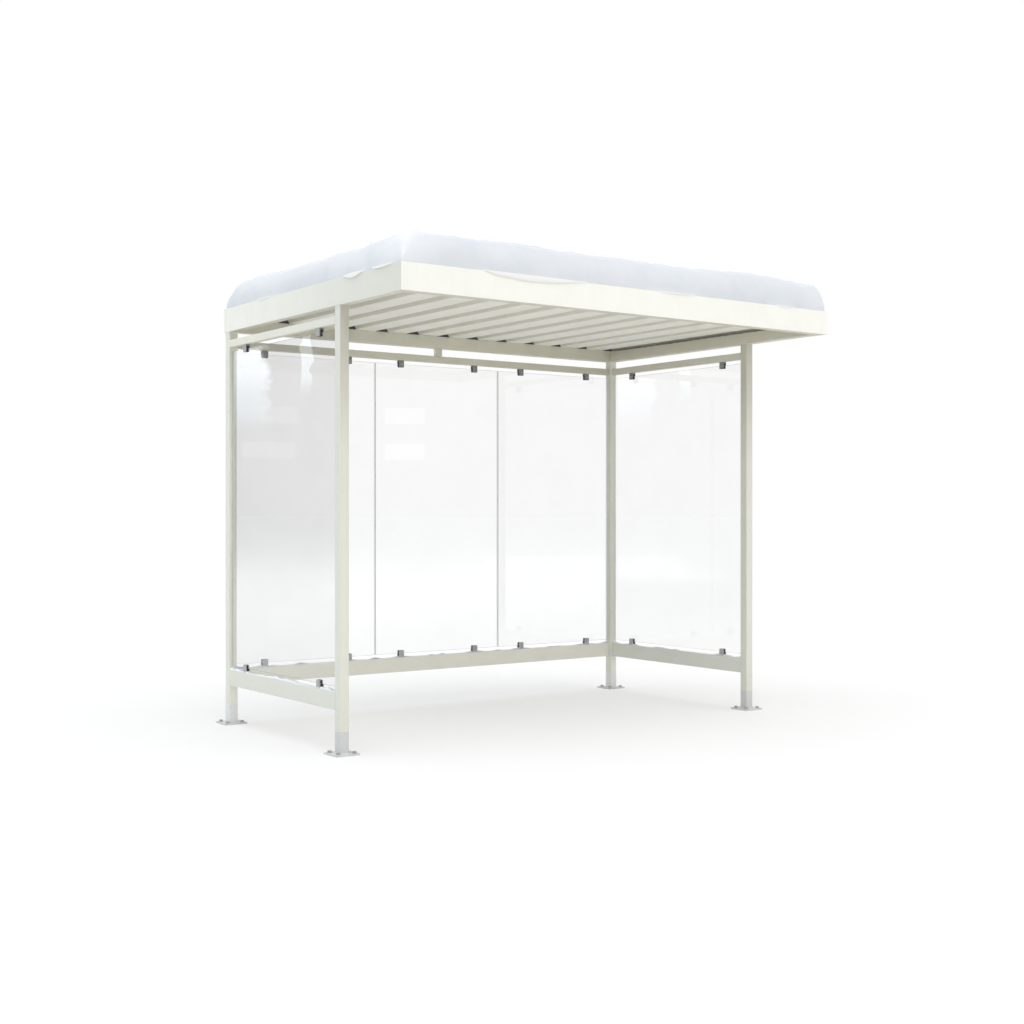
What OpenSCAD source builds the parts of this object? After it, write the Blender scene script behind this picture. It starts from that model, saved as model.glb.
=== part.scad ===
// Smoking shelter: four square posts on bolted foot plates carry a tray-shaped
// steel roof that reaches out over the open front. The back and both ends are
// closed by clear glass held in clamps between a lower and an upper rail.
// Millimetres, +Z up, +X to the right, the open front faces -Y. The origin is
// the centre of the whole footprint, level with the underside of the foot plates.

/* [Overall size] */
// Width over the outer faces of the posts
shelter_w = 2700; // [2000:10:3600]
// Depth over the outer faces of the posts
shelter_d = 1275; // [900:5:1800]
// Height from the ground line to the underside of the roof beams
clear_h = 2000; // [1800:10:2600]
// Reach of the roof past the front faces of the front posts
front_overhang = 560; // [200:10:800]

/* [Posts and feet] */
// Side of the square post tube
post_s = 50; // [40:5:80]
// Wall of the post tube
post_wall = 2; // [1.5:0.5:5]
// Height of post that is sunk between the foot plate and the ground line
sunk_h = 100; // [60:5:200]
// Side of the square foot plate
plate_s = 125; // [110:5:200]
// Thickness of the foot plate
plate_t = 8; // [6:1:15]
// Diameter of the anchor holes in the foot plate
anchor_d = 12; // [8:1:16]
// Distance from a foot plate's edge to the centre of an anchor hole
anchor_inset = 20; // [14:1:24]

/* [Rails] */
// Depth of both rails, measured through the wall
rail_d = 35; // [30:1:45]
// Wall of the rail tubes
rail_wall = 2; // [1.5:0.5:4]
// Height of the lower rail
lower_rail_h = 85; // [60:5:120]
// Clear height below the lower rail, above the ground line
lower_rail_gap = 100; // [50:5:200]
// Height of the upper rail
upper_rail_h = 40; // [30:5:60]
// Clear height between the upper rail and the roof beam
upper_rail_gap = 45; // [20:5:100]
// Width of the short hanger in the middle of the back wall
hanger_w = 40; // [30:5:60]

/* [Roof frame] */
// Height of the roof beams
beam_h = 70; // [50:5:100]
// Width of the back and end beams
beam_w = 50; // [40:5:80]
// Width of the front beam
front_beam_w = 60; // [40:5:100]
// Wall of the beam tubes
beam_wall = 2.5; // [1.5:0.5:5]
// Height of the fascia that rings the roof
fascia_h = 125; // [115:5:200]
// Thickness of the fascia
fascia_t = 5; // [3:1:8]

/* [Roof sheet] */
// Thickness of the folded roof sheet
sheet_t = 1; // [0.6:0.1:1.5]
// Distance between neighbouring ribs
rib_pitch = 210; // [170:5:250]
// Height of a rib
rib_h = 35; // [20:1:40]
// Width of a rib at its foot
rib_foot = 85; // [70:1:100]
// Width of a rib at its crest
rib_crest = 38; // [25:1:50]
// Flat margin of an upper sheet past the rib that it laps
lap_margin = 15; // [8:1:25]
// Gap between the sheets and the inside of the fascia
sheet_gap = 2; // [1:0.5:5]

/* [Glass] */
// Thickness of the toughened glass
glass_t = 8; // [6:1:12]
// Gap between the glass and the rails above and below it
glass_rail_gap = 22; // [15:1:30]
// Gap between the glass and a post
glass_post_gap = 8; // [4:1:15]
// Gap between neighbouring panes of the back wall
pane_gap = 6; // [3:1:12]

/* [Clamps] */
// Width of a glass clamp
clamp_w = 34; // [25:1:45]
// Thickness of each jaw of a clamp
jaw_t = 6; // [4:1:7]
// Thickness of the clamp between the rail and the rubber
clamp_base = 8; // [5:1:10]
// Radius of the clamp's corners
clamp_round = 3; // [1:0.5:4]
// Height of a glass clamp
clamp_h = 40; // [35:1:60]
// Distance from a pane's side edge to the middle of a clamp
clamp_inset = 170; // [80:5:250]
// Thickness of the rubber on each side of the glass
pad_t = 3; // [2:0.5:4]
// Distance of the rubber from the sides of a clamp
pad_inset = 1; // [0.5:0.5:3]
// Room around the edge of the glass in the rubber
glass_play = 0.2; // [0.1:0.1:0.5]

/* [Snow] */
// Height of the snow above the top of the fascia
snow_rise = 155; // [40:5:300]
// Radius of the snow's rounded edges
snow_round = 90; // [20:5:120]
// Distance from the outer face of the fascia to the snow
snow_inset = 10; // [7:1:40]
// Height of the snow strips on the lower rails
strip_h = 12; // [4:1:14]
// Gap between a snow strip and a clamp
strip_gap = 0.3; // [0.1:0.1:0.9]

/* [Hidden] */

$fn = 48;

// Sides: a post is named by one of each pair
left = -1;
right = 1;
front = -1;
back = 1;

// Colours
paint = [0.93, 0.93, 0.88];
zinc = [0.78, 0.78, 0.78];
clamp_grey = [0.55, 0.56, 0.58];
rubber = [0.08, 0.08, 0.08];
clear_glass = [0.86, 0.90, 0.92, 0.35];
snow_white = [0.95, 0.96, 0.99];

// Plan: faces of the posts, the roof and the centre of the end walls
plate_reach = (plate_s - post_s) / 2;
back_reach = max(plate_reach, fascia_t);
roof_front_y = -(front_overhang + shelter_d + back_reach) / 2;
front_y = roof_front_y + front_overhang;
back_y = front_y + shelter_d;
roof_back_y = back_y + fascia_t;
middle_y = (front_y + back_y) / 2;
roof_w = shelter_w + 2 * fascia_t;
roof_d = roof_back_y - roof_front_y;
roof_middle_y = (roof_front_y + roof_back_y) / 2;

// Levels
ground_z = plate_t + sunk_h;
roof_z = ground_z + clear_h;
sheet_z = roof_z + beam_h;
fascia_top_z = roof_z + fascia_h;
lower_rail_z = ground_z + lower_rail_gap;
lower_rail_top_z = lower_rail_z + lower_rail_h;
upper_rail_z = roof_z - upper_rail_gap - upper_rail_h;
post_len = roof_z - plate_t;

// Roof sheet: ribs start half a pitch in, and the middle sheet laps its neighbours
sheet_w = roof_w - 2 * (fascia_t + sheet_gap);
sheet_d = roof_d - 2 * (fascia_t + sheet_gap);
rib_n = floor((sheet_w - rib_pitch / 2 - rib_foot / 2) / rib_pitch) + 1;
left_lap = floor(rib_n / 3);
right_lap = rib_n - 1 - left_lap;
rib_slope = atan2(rib_h, (rib_foot - rib_crest) / 2);
lap_reach = rib_foot / 2 + lap_margin;
crest_z = sheet_z + rib_h + 2 * sheet_t;

// Snow: it lies on the highest crests
snow_w = roof_w - 2 * snow_inset;
snow_d = roof_d - 2 * snow_inset;
snow_h = fascia_top_z + snow_rise - crest_z;
snow_edge = min(snow_round, snow_h);

// Clamp: two jaws on a base, with rubber between them
jaw_gap = glass_t + 2 * pad_t;
clamp_d = jaw_gap + 2 * jaw_t;

// Walls: each is drawn along +X with its outer face at y = 0 and the inside at -y
function wall_len(wall) = (wall == "back" ? shelter_w : shelter_d) - 2 * post_s;
function pane_n(wall) = wall == "back" ? 3 : 1;
function pane_len(wall) =
    (wall_len(wall) - 2 * glass_post_gap - (pane_n(wall) - 1) * pane_gap) / pane_n(wall);
function pane_x(wall, i) = (i - (pane_n(wall) - 1) / 2) * (pane_len(wall) + pane_gap);
function clamp_xs(wall, i) =
    [for (s = [left, right]) pane_x(wall, i) + s * (pane_len(wall) / 2 - clamp_inset)];

// Tube profile: sharp enough to read as square, with the bend radius of cold-formed tube
module rounded_rect(w, h, r) {
    square([w, h - 2 * r], center = true);
    square([w - 2 * r, h], center = true);
    for (x = [left, right], y = [front, back])
        translate([x * (w / 2 - r), y * (h / 2 - r)])
            circle(r);
}

module tube_profile(w, h, wall) {
    difference() {
        rounded_rect(w, h, 2 * wall);
        rounded_rect(w - 2 * wall, h - 2 * wall, wall);
    }
}

// A tube along X, centred on the origin: d is its size along Y and h along Z
module tube_x(len, d, h, wall) {
    rotate([90, 0, 90])
        linear_extrude(len, center = true)
            tube_profile(d, h, wall);
}

// Puts what is drawn in a wall's own frame onto that wall
module on_wall(wall) {
    if (wall == "back")
        translate([0, back_y, 0]) children();
    if (wall == "left")
        translate([-shelter_w / 2, middle_y, 0]) rotate([0, 0, 90]) children();
    if (wall == "right")
        translate([shelter_w / 2, middle_y, 0]) rotate([0, 0, -90]) children();
}

// Puts what is drawn about the origin onto the axis of a post
module at_post(x_side, y_side) {
    translate([
        x_side * (shelter_w - post_s) / 2,
        middle_y + y_side * (shelter_d - post_s) / 2,
        0
    ])
        children();
}

// Square foot plate with an anchor hole near each corner
module base_plate(x_side, y_side) {
    anchor_reach = plate_s / 2 - anchor_inset;
    color(zinc)
        at_post(x_side, y_side)
            difference() {
                linear_extrude(plate_t)
                    square(plate_s, center = true);
                for (x = [left, right], y = [front, back])
                    translate([x * anchor_reach, y * anchor_reach, -1])
                        cylinder(d = anchor_d, h = plate_t + 2);
            }
}

// Post tube, from the foot plate up to the roof beams
module post(x_side, y_side) {
    color(paint)
        at_post(x_side, y_side)
            translate([0, 0, plate_t])
                linear_extrude(post_len)
                    tube_profile(post_s, post_s, post_wall);
}

// Lower rail between two posts, flush with their outer faces
module lower_rail(wall) {
    color(paint)
        on_wall(wall)
            translate([0, -rail_d / 2, lower_rail_z + lower_rail_h / 2])
                tube_x(wall_len(wall), rail_d, lower_rail_h, rail_wall);
}

// Upper rail between two posts, just below the roof beam
module upper_rail(wall) {
    color(paint)
        on_wall(wall)
            translate([0, -rail_d / 2, upper_rail_z + upper_rail_h / 2])
                tube_x(wall_len(wall), rail_d, upper_rail_h, rail_wall);
}

// Short tube that ties the middle of the long upper rail to the roof beam
module rail_hanger() {
    color(paint)
        on_wall("back")
            translate([0, -rail_d / 2, roof_z - upper_rail_gap])
                linear_extrude(upper_rail_gap)
                    tube_profile(hanger_w, rail_d, rail_wall);
}

// Front and back roof beams run the full width and their outer faces line up with the posts
module roof_beam_front() {
    color(paint)
        translate([0, roof_front_y + fascia_t + front_beam_w / 2, roof_z + beam_h / 2])
            tube_x(shelter_w, front_beam_w, beam_h, beam_wall);
}

module roof_beam_back() {
    color(paint)
        translate([0, back_y - beam_w / 2, roof_z + beam_h / 2])
            tube_x(shelter_w, beam_w, beam_h, beam_wall);
}

// End roof beam between the front beam and the back beam
module roof_beam_end(x_side) {
    start_y = roof_front_y + fascia_t + front_beam_w;
    end_y = back_y - beam_w;
    color(paint)
        translate([x_side * (shelter_w - beam_w) / 2, (start_y + end_y) / 2, roof_z + beam_h / 2])
            rotate([0, 0, 90])
                tube_x(end_y - start_y, beam_w, beam_h, beam_wall);
}

// Fascia along the front or back, over the full width of the roof
module fascia_long(y_side) {
    color(paint)
        translate([0, roof_middle_y + y_side * (roof_d - fascia_t) / 2, roof_z])
            linear_extrude(fascia_h)
                square([roof_w, fascia_t], center = true);
}

// Fascia along an end, between the two long ones
module fascia_end(x_side) {
    color(paint)
        translate([x_side * (roof_w - fascia_t) / 2, roof_middle_y, roof_z])
            linear_extrude(fascia_h)
                square([fascia_t, roof_d - 2 * fascia_t], center = true);
}

// Centre line of a rib, counted from the left
function rib_x(k) = -sheet_w / 2 + rib_pitch * (k + 0.5);

// Folded line over ribs a to b. Lifted by n thicknesses, each bend moves out
// by n * sheet_t * tan(slope / 2), so that stacked sheets touch all over.
function folded_line(a, b, n) =
    let (out = n * sheet_t * tan(rib_slope / 2), z = n * sheet_t)
    [for (k = [a:b]) for (p = [
        [-rib_foot / 2 - out, z],
        [-rib_crest / 2 - out, z + rib_h],
        [rib_crest / 2 + out, z + rib_h],
        [rib_foot / 2 + out, z]
    ]) [rib_x(k) + p[0], p[1]]];

function backwards(list) = [for (i = [len(list) - 1:-1:0]) list[i]];

// Folded sheet from x = start to x = end over ribs a to b, n thicknesses up
module folded_sheet(start, end, a, b, n) {
    under = concat([[start, n * sheet_t]], folded_line(a, b, n), [[end, n * sheet_t]]);
    over = concat([[start, (n + 1) * sheet_t]], folded_line(a, b, n + 1), [[end, (n + 1) * sheet_t]]);
    color(paint)
        translate([0, roof_middle_y + sheet_d / 2, sheet_z])
            rotate([90, 0, 0])
                linear_extrude(sheet_d)
                    polygon(concat(under, backwards(over)));
}

module roof_sheet_left() {
    folded_sheet(-sheet_w / 2, rib_x(left_lap) + lap_reach, 0, left_lap, 0);
}

module roof_sheet_middle() {
    folded_sheet(rib_x(left_lap) - lap_reach, rib_x(right_lap) + lap_reach, left_lap, right_lap, 1);
}

module roof_sheet_right() {
    folded_sheet(rib_x(right_lap) - lap_reach, sheet_w / 2, right_lap, rib_n - 1, 0);
}

// Glass pane i of a wall, standing between the rails in the middle of their depth
module glass_pane(wall, i) {
    pane_z = lower_rail_top_z + glass_rail_gap;
    pane_h = upper_rail_z - glass_rail_gap - pane_z;
    color(clear_glass)
        on_wall(wall)
            translate([pane_x(wall, i) - pane_len(wall) / 2, -(rail_d + glass_t) / 2, pane_z])
                cube([pane_len(wall), glass_t, pane_h]);
}

// Glass clamp standing on z = 0: a base and two jaws, open upwards
module glass_clamp() {
    difference() {
        linear_extrude(clamp_h)
            rounded_rect(clamp_w, clamp_d, clamp_round);
        translate([-clamp_w, -jaw_gap / 2, clamp_base])
            cube([2 * clamp_w, jaw_gap, clamp_h]);
    }
}

// Rubber that fills the jaws of a clamp and holds the edge of the glass
module clamp_pad() {
    groove_w = glass_t + 2 * glass_play;
    difference() {
        translate([pad_inset - clamp_w / 2, -jaw_gap / 2, clamp_base])
            cube([clamp_w - 2 * pad_inset, jaw_gap, clamp_h - clamp_base]);
        translate([-clamp_w, -groove_w / 2, glass_rail_gap - glass_play])
            cube([2 * clamp_w, groove_w, clamp_h]);
    }
}

// Four copies for pane i: two on the lower rail and two upside down under the upper rail
module at_clamps(wall, i) {
    on_wall(wall)
        for (x = clamp_xs(wall, i)) {
            translate([x, -rail_d / 2, lower_rail_top_z])
                children();
            translate([x, -rail_d / 2, upper_rail_z])
                mirror([0, 0, 1])
                    children();
        }
}

module clamps(wall, i) {
    color(clamp_grey)
        at_clamps(wall, i)
            glass_clamp();
}

module clamp_pads(wall, i) {
    color(rubber)
        at_clamps(wall, i)
            clamp_pad();
}

// Outline of the snow on the roof: flat below, with two rounded upper corners
module snow_outline(w) {
    intersection() {
        translate([0, snow_h / 2])
            square([w, snow_h], center = true);
        union() {
            translate([-w / 2, 0])
                square([w, snow_h - snow_edge]);
            translate([snow_edge - w / 2, 0])
                square([w - 2 * snow_edge, snow_h]);
            for (x = [left, right])
                translate([x * (w / 2 - snow_edge), snow_h - snow_edge])
                    circle(snow_edge);
        }
    }
}

// Snow that fills the tray of the roof and stands above the fascia
module roof_snow() {
    color(snow_white)
        translate([0, roof_middle_y, crest_z])
            intersection() {
                rotate([90, 0, 0])
                    linear_extrude(snow_d, center = true)
                        snow_outline(snow_w);
                rotate([90, 0, 90])
                    linear_extrude(snow_w, center = true)
                        snow_outline(snow_d);
            }
}

// Low strips of snow on a lower rail, from post to clamp to post
module rail_snow(wall) {
    strip_w = rail_d - 2 * rail_wall;
    strip_r = (strip_h * strip_h + strip_w * strip_w / 4) / (2 * strip_h);
    clamp_sides = [
        for (i = [0:pane_n(wall) - 1], x = clamp_xs(wall, i), side = [left, right])
            x + side * (clamp_w / 2 + strip_gap)
    ];
    stops = concat([-wall_len(wall) / 2], clamp_sides, [wall_len(wall) / 2]);
    color(snow_white)
        on_wall(wall)
            for (i = [0:2:len(stops) - 2])
                translate([stops[i], -rail_d / 2, lower_rail_top_z])
                    rotate([90, 0, 90])
                        linear_extrude(stops[i + 1] - stops[i])
                            intersection() {
                                translate([0, strip_h - strip_r])
                                    circle(strip_r);
                                translate([-strip_w / 2, 0])
                                    square([strip_w, strip_h]);
                            }
}

base_plate(left, front);  // base_plate_front_left
base_plate(right, front);  // base_plate_front_right
base_plate(left, back);  // base_plate_back_left
base_plate(right, back);  // base_plate_back_right
post(left, front);  // post_front_left
post(right, front);  // post_front_right
post(left, back);  // post_back_left
post(right, back);  // post_back_right
lower_rail("back");  // lower_rail_back
lower_rail("left");  // lower_rail_left
lower_rail("right");  // lower_rail_right
upper_rail("back");  // upper_rail_back
upper_rail("left");  // upper_rail_left
upper_rail("right");  // upper_rail_right
rail_hanger();
roof_beam_front();
roof_beam_back();
roof_beam_end(left);  // roof_beam_left
roof_beam_end(right);  // roof_beam_right
fascia_long(front);  // fascia_front
fascia_long(back);  // fascia_back
fascia_end(left);  // fascia_left
fascia_end(right);  // fascia_right
roof_sheet_left();
roof_sheet_middle();
roof_sheet_right();
glass_pane("back", 0);  // glass_back_left
glass_pane("back", 1);  // glass_back_middle
glass_pane("back", 2);  // glass_back_right
glass_pane("left", 0);  // glass_left
glass_pane("right", 0);  // glass_right
clamps("back", 0);  // clamps_back_left
clamps("back", 1);  // clamps_back_middle
clamps("back", 2);  // clamps_back_right
clamps("left", 0);  // clamps_left
clamps("right", 0);  // clamps_right
clamp_pads("back", 0);  // clamp_pads_back_left
clamp_pads("back", 1);  // clamp_pads_back_middle
clamp_pads("back", 2);  // clamp_pads_back_right
clamp_pads("left", 0);  // clamp_pads_left
clamp_pads("right", 0);  // clamp_pads_right
roof_snow();
rail_snow("back");  // rail_snow_back
rail_snow("left");  // rail_snow_left
rail_snow("right");  // rail_snow_right
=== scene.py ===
# %% [markdown]
# # A smoking shelter with snow on its roof
#
# The shelter is a welded steel frame with five clear panes, a ribbed sheet roof in a tray of flat bars, and a
# thick drift of snow lying in that tray. The steelwork, the clamps and the bolts' holes are exact solids that
# come from the CAD model. This lesson adds what a solid modeller leaves out: light, paint, ground glass
# edges, weld beads, bolts, and snow that has slumped and drifted.
#
# Everything is in metres. X runs along the back wall, Y runs from the open front to the back, and Z is up
# from the underside of the foot plates.

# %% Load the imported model
import math

import bpy
import bmesh
import numpy as np
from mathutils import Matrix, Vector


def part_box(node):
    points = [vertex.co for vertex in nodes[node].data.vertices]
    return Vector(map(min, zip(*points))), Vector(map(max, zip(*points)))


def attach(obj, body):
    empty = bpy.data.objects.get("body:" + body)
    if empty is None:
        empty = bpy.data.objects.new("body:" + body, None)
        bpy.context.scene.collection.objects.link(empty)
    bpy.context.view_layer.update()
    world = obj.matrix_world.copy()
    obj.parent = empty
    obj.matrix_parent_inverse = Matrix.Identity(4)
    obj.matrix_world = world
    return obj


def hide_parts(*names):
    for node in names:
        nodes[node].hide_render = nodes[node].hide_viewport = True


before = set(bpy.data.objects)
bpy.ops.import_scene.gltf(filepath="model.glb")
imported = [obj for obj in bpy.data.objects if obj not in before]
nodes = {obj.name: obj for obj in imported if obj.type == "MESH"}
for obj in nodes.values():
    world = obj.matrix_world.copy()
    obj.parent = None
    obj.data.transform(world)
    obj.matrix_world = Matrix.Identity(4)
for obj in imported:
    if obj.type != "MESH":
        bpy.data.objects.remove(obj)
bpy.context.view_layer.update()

# %% [markdown]
# ## Reading places from the model
#
# A piece that is added here has to meet the steel exactly, so its place is never typed in. It is read from
# the box of the part that it touches. The helper below gives a part's two corners as numpy arrays, because
# arrays can be mixed, scaled and compared in one line.


# %% Corners of a part
def corners(name):
    """Lowest and highest corner of a CAD part, as two arrays of x, y, z in metres."""
    low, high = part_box(name)
    return np.array(low), np.array(high)


MM = 0.001
POST_PLACES = ("front_left", "front_right", "back_left", "back_right")
GROUND_LINE = 108 * MM
fascia_top = corners("fascia_front")[1][2]
print("ground line %.3f m, fascia top %.3f m" % (GROUND_LINE, fascia_top))

# %% [markdown]
# ## The camera
#
# The shelter is looked at from its front left corner, at about the height of a seated person's eyes, with a
# slightly long lens. The camera is kept level, so that the posts stay upright in the picture, as in pictures
# of buildings: a tilted camera would make the posts lean.

# %% Camera
CAMERA_PLACE = (-4.5728, -6.2535, 1.1391)
CAMERA_TURN = -0.62188
FILM_WIDTH, LENS_LENGTH = 36, 50.08
scene = bpy.context.scene
camera_data = bpy.data.cameras.new("camera")
camera_data.sensor_width = FILM_WIDTH
camera_data.lens = LENS_LENGTH
camera_data.clip_end = 1000
camera = bpy.data.objects.new("camera", camera_data)
camera.location = CAMERA_PLACE
camera.rotation_euler = (math.pi / 2, 0, CAMERA_TURN)
scene.collection.objects.link(camera)
scene.camera = camera
print("camera %.2f m from the origin" % camera.location.length)

# %% [markdown]
# ## Small tools for node trees
#
# Materials, the floor and the sky are all networks of nodes. A few short helpers keep them readable. `put`
# adds a node and fills or links its sockets in one call, and most of the others are one kind of node with the
# sockets that are used here. A plain number given to `put` is typed into the socket, and a socket given to it
# is linked. `new_group` opens a reusable node group with named sockets, and `use` places it.


# %% Node helpers
def fill(tree, node, sockets):
    """Fills a node's inputs: sockets maps an input's name or number to a value or to a socket to link."""
    for key, value in sockets.items():
        if isinstance(value, bpy.types.NodeSocket):
            tree.links.new(value, node.inputs[key])
        else:
            node.inputs[key].default_value = value


def put(tree, kind, sockets=None, **settings):
    """Adds a node with its own options in settings, and fills its inputs."""
    made = tree.nodes.new("ShaderNode" + kind)
    for option, value in settings.items():
        setattr(made, option, value)
    fill(tree, made, sockets or {})
    return made


def maths(tree, operation, a, b=0.0):
    """One step of arithmetic on the numbers a and b."""
    return put(tree, "Math", {0: a, 1: b}, operation=operation).outputs[0]


def vectors(tree, operation, a, b=(0.0, 0.0, 0.0), output="Vector"):
    """One step of arithmetic on the vectors a and b. output is Value where the result is a number."""
    return put(tree, "VectorMath", {0: a, 1: b}, operation=operation).outputs[output]


def scaled(tree, vector, factor):
    """A vector or a colour times a number."""
    return put(tree, "VectorMath", {0: vector, "Scale": factor}, operation="SCALE").outputs[0]


def part_of(tree, vector, axis):
    """The X, Y or Z of a vector."""
    return put(tree, "SeparateXYZ", {0: vector}).outputs[axis]


def facing(tree, axis):
    """The X, Y or Z of the surface's normal: 1 where it faces that way, and -1 where it faces the other
    way."""
    return part_of(tree, put(tree, "NewGeometry").outputs["Normal"], axis)


def blend(tree, share, a, b):
    """Colour a where share is 0 and colour b where it is 1."""
    return put(tree, "Mix", {0: share, 6: a, 7: b}, data_type="RGBA").outputs[2]


def ramp(tree, value, start, stop, low=0.0, high=1.0):
    """Smooth step: low up to start, high from stop on, and an S-shaped curve between."""
    sockets = {0: value, 1: start, 2: stop, 3: low, 4: high}
    return put(tree, "MapRange", sockets, interpolation_type="SMOOTHSTEP").outputs[0]


def noise(tree, where, scale, detail=2.0, rough=0.5, output="Fac"):
    """Smooth noise from 0 to 1 at scale lumps a metre, with detail finer layers added."""
    sockets = {"Vector": where, "Scale": scale, "Detail": detail, "Roughness": rough}
    return put(tree, "TexNoise", sockets).outputs[output]


def new_group(name, inputs, outputs):
    """Opens a node group. inputs maps a socket's name to (type, start value), outputs maps a name to a
    type."""
    tree = bpy.data.node_groups.new(name, "ShaderNodeTree")
    for label, (kind, value) in inputs.items():
        socket = tree.interface.new_socket(label, in_out="INPUT", socket_type="NodeSocket" + kind)
        if value is not None:
            socket.default_value = value
    for label, kind in outputs.items():
        tree.interface.new_socket(label, in_out="OUTPUT", socket_type="NodeSocket" + kind)
    return tree, tree.nodes.new("NodeGroupInput").outputs, tree.nodes.new("NodeGroupOutput").inputs


def use(tree, name, sockets):
    """Places the node group of that name in a material and fills its inputs."""
    made = tree.nodes.new("ShaderNodeGroup")
    made.node_tree = bpy.data.node_groups[name]
    fill(tree, made, sockets)
    return made.outputs


def plan_distance(tree, where, place):
    """How far where is from a place, seen from above."""
    apart = vectors(tree, "SUBTRACT", where, place)
    return vectors(tree, "LENGTH", vectors(tree, "MULTIPLY", apart, (1.0, 1.0, 0.0)), output="Value")


def linear(red, green, blue):
    """The colour a screen shows as red, green, blue from 0 to 255, in the linear light that shaders work in:
    each share s becomes ((s + 0.055) / 1.055) to the power of 2.4."""
    share = (np.array([red, green, blue]) / 255 + 0.055) / 1.055
    return (*(share**2.4).tolist(), 1.0)


print("mid grey on a screen is %.3f in linear light" % linear(128, 128, 128)[0])

# %% [markdown]
# ## The studio
#
# A pale object on a white ground needs light that comes from everywhere, or its shadow turns hard and dark.
# One could hang large lamps round it, but lamps painted on a dome do the same with less noise. The
# brightest is high in front and a wide one is straight above, so that the roof shades what lies under it. A
# cooler one on the left, a warm low one at the front right and two faint ones behind keep the sides apart in
# tone.
#
# Seen directly, or straight through a pane, the same dome is plain white. Only mirrored light meets a ring of
# grey screens round the horizon: without something to mirror, clear glass on white can't be seen.

# %% Light that falls on the shelter
scene.view_settings.view_transform = "Standard"
world = bpy.data.worlds.new("studio")
scene.world = world
world.use_nodes = True
sky = world.node_tree
sky.nodes.clear()
direction = put(sky, "TexCoord").outputs["Generated"]
EVEN = 0.03
LAMPS = (  # compass angle from the front towards the right, height in degrees, strength, tightness, colour
    (0, 90, 1.03, 6, (1.00, 1.00, 1.00)),
    (0, 70, 1.75, 20, (1.00, 1.00, 1.00)),
    (0, 45, 0.82, 12, (1.03, 0.99, 0.97)),
    (45, 10, 0.60, 6, (1.05, 1.00, 0.95)),
    (-90, 45, 1.33, 12, (0.91, 1.00, 1.05)),
    (-135, 10, 0.22, 6, (0.97, 1.00, 1.02)),
    (180, 45, 0.30, 12, (1.00, 1.00, 1.00)),
)
dome_light = put(sky, "CombineXYZ", {0: EVEN, 1: EVEN, 2: EVEN}).outputs[0]
for compass, height, lamp_strength, tightness, colour in LAMPS:
    c, h = math.radians(compass), math.radians(height)
    centre = (math.sin(c) * math.cos(h), -math.cos(c) * math.cos(h), math.sin(h))
    towards = vectors(sky, "DOT_PRODUCT", direction, centre, output="Value")
    half = maths(sky, "MULTIPLY", maths(sky, "ADD", towards, 1.0), 0.5)
    lobe = maths(sky, "POWER", half, tightness)
    tint = tuple(lamp_strength * v for v in colour)
    dome_light = vectors(sky, "ADD", dome_light, scaled(sky, tint, lobe))
print("dome: %.2f everywhere, plus strength * ((1 + cos of the angle from the lamp) / 2) ** tightness" % EVEN)


# %% Tone of the screens by compass direction
PALE_SCREEN, DARK_SCREEN = 0.80, 0.19


def build_ring_group():
    """Compass is atan2(x, y), 0 straight behind the shelter. Screens are dark from -0.54 to 0.1 and a pale
    grey elsewhere, with soft changes between."""
    outputs = {"Compass": "Float", "Tone": "Float"}
    tree, given, result = new_group("screen_ring", {"Vector": ("Vector", None)}, outputs)
    compass = maths(tree, "ARCTAN2", part_of(tree, given["Vector"], "X"), part_of(tree, given["Vector"], "Y"))
    left = ramp(tree, compass, -0.66, -0.54, PALE_SCREEN, DARK_SCREEN)
    right = ramp(tree, compass, 0.1, 0.9, 0.0, PALE_SCREEN)
    tree.links.new(compass, result["Compass"])
    tree.links.new(maths(tree, "MAXIMUM", left, right), result["Tone"])


build_ring_group()

# %% Gaps between the screens
# The air in a gap is bluish low down, and brighter and whiter from 0.07 to 0.11 up. Windows are plain white.
ring = use(sky, "screen_ring", {"Vector": direction})
rise = part_of(sky, direction, "Z")
RAGGED = 0.03
ragged = maths(sky, "SUBTRACT", noise(sky, direction, 90.0, detail=4.0), 0.5)
ragged = maths(sky, "MULTIPLY", ragged, RAGGED)
GAPS = (  # compass and half width, rise and half height, ragged edge, added light
    (-0.414, 0.040, 0.180, 0.126, 1.0, 1.00),
    (-0.478, 0.004, 0.190, 0.112, 0.3, 0.80),
    (-0.696, 0.028, 0.170, 0.112, 1.0, 1.20),
    (-0.743, 0.004, 0.190, 0.116, 0.3, 0.90),
)
WINDOWS = (
    (-0.460, 0.013, 0.067, 0.006, 0.0, 0.17),
    (-0.453, 0.020, 0.043, 0.006, 0.0, 0.16),
    (2.595, 0.015, 0.067, 0.006, 0.0, 0.55),
    (2.595, 0.015, 0.042, 0.006, 0.0, 0.55),
)
FULLY_OPEN = 0.85


def openings(rows):
    """Light added by soft-edged openings: the share inside both the compass and the rise range, times its
    light. The outermost 15 percent of each range is the soft edge."""
    total = 0.0
    for compass, half_wide, middle, half_high, torn, added in rows:
        aside = maths(sky, "ABSOLUTE", maths(sky, "SUBTRACT", ring["Compass"], compass))
        aside = maths(sky, "ADD", aside, maths(sky, "MULTIPLY", ragged, torn))
        apart = maths(sky, "ABSOLUTE", maths(sky, "SUBTRACT", rise, middle))
        beside = ramp(sky, aside, half_wide * FULLY_OPEN, half_wide, 1, 0)
        level = ramp(sky, apart, half_high * FULLY_OPEN, half_high, 1, 0)
        share = maths(sky, "MULTIPLY", beside, level)
        total = maths(sky, "ADD", total, maths(sky, "MULTIPLY", share, added))
    return total


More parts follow.
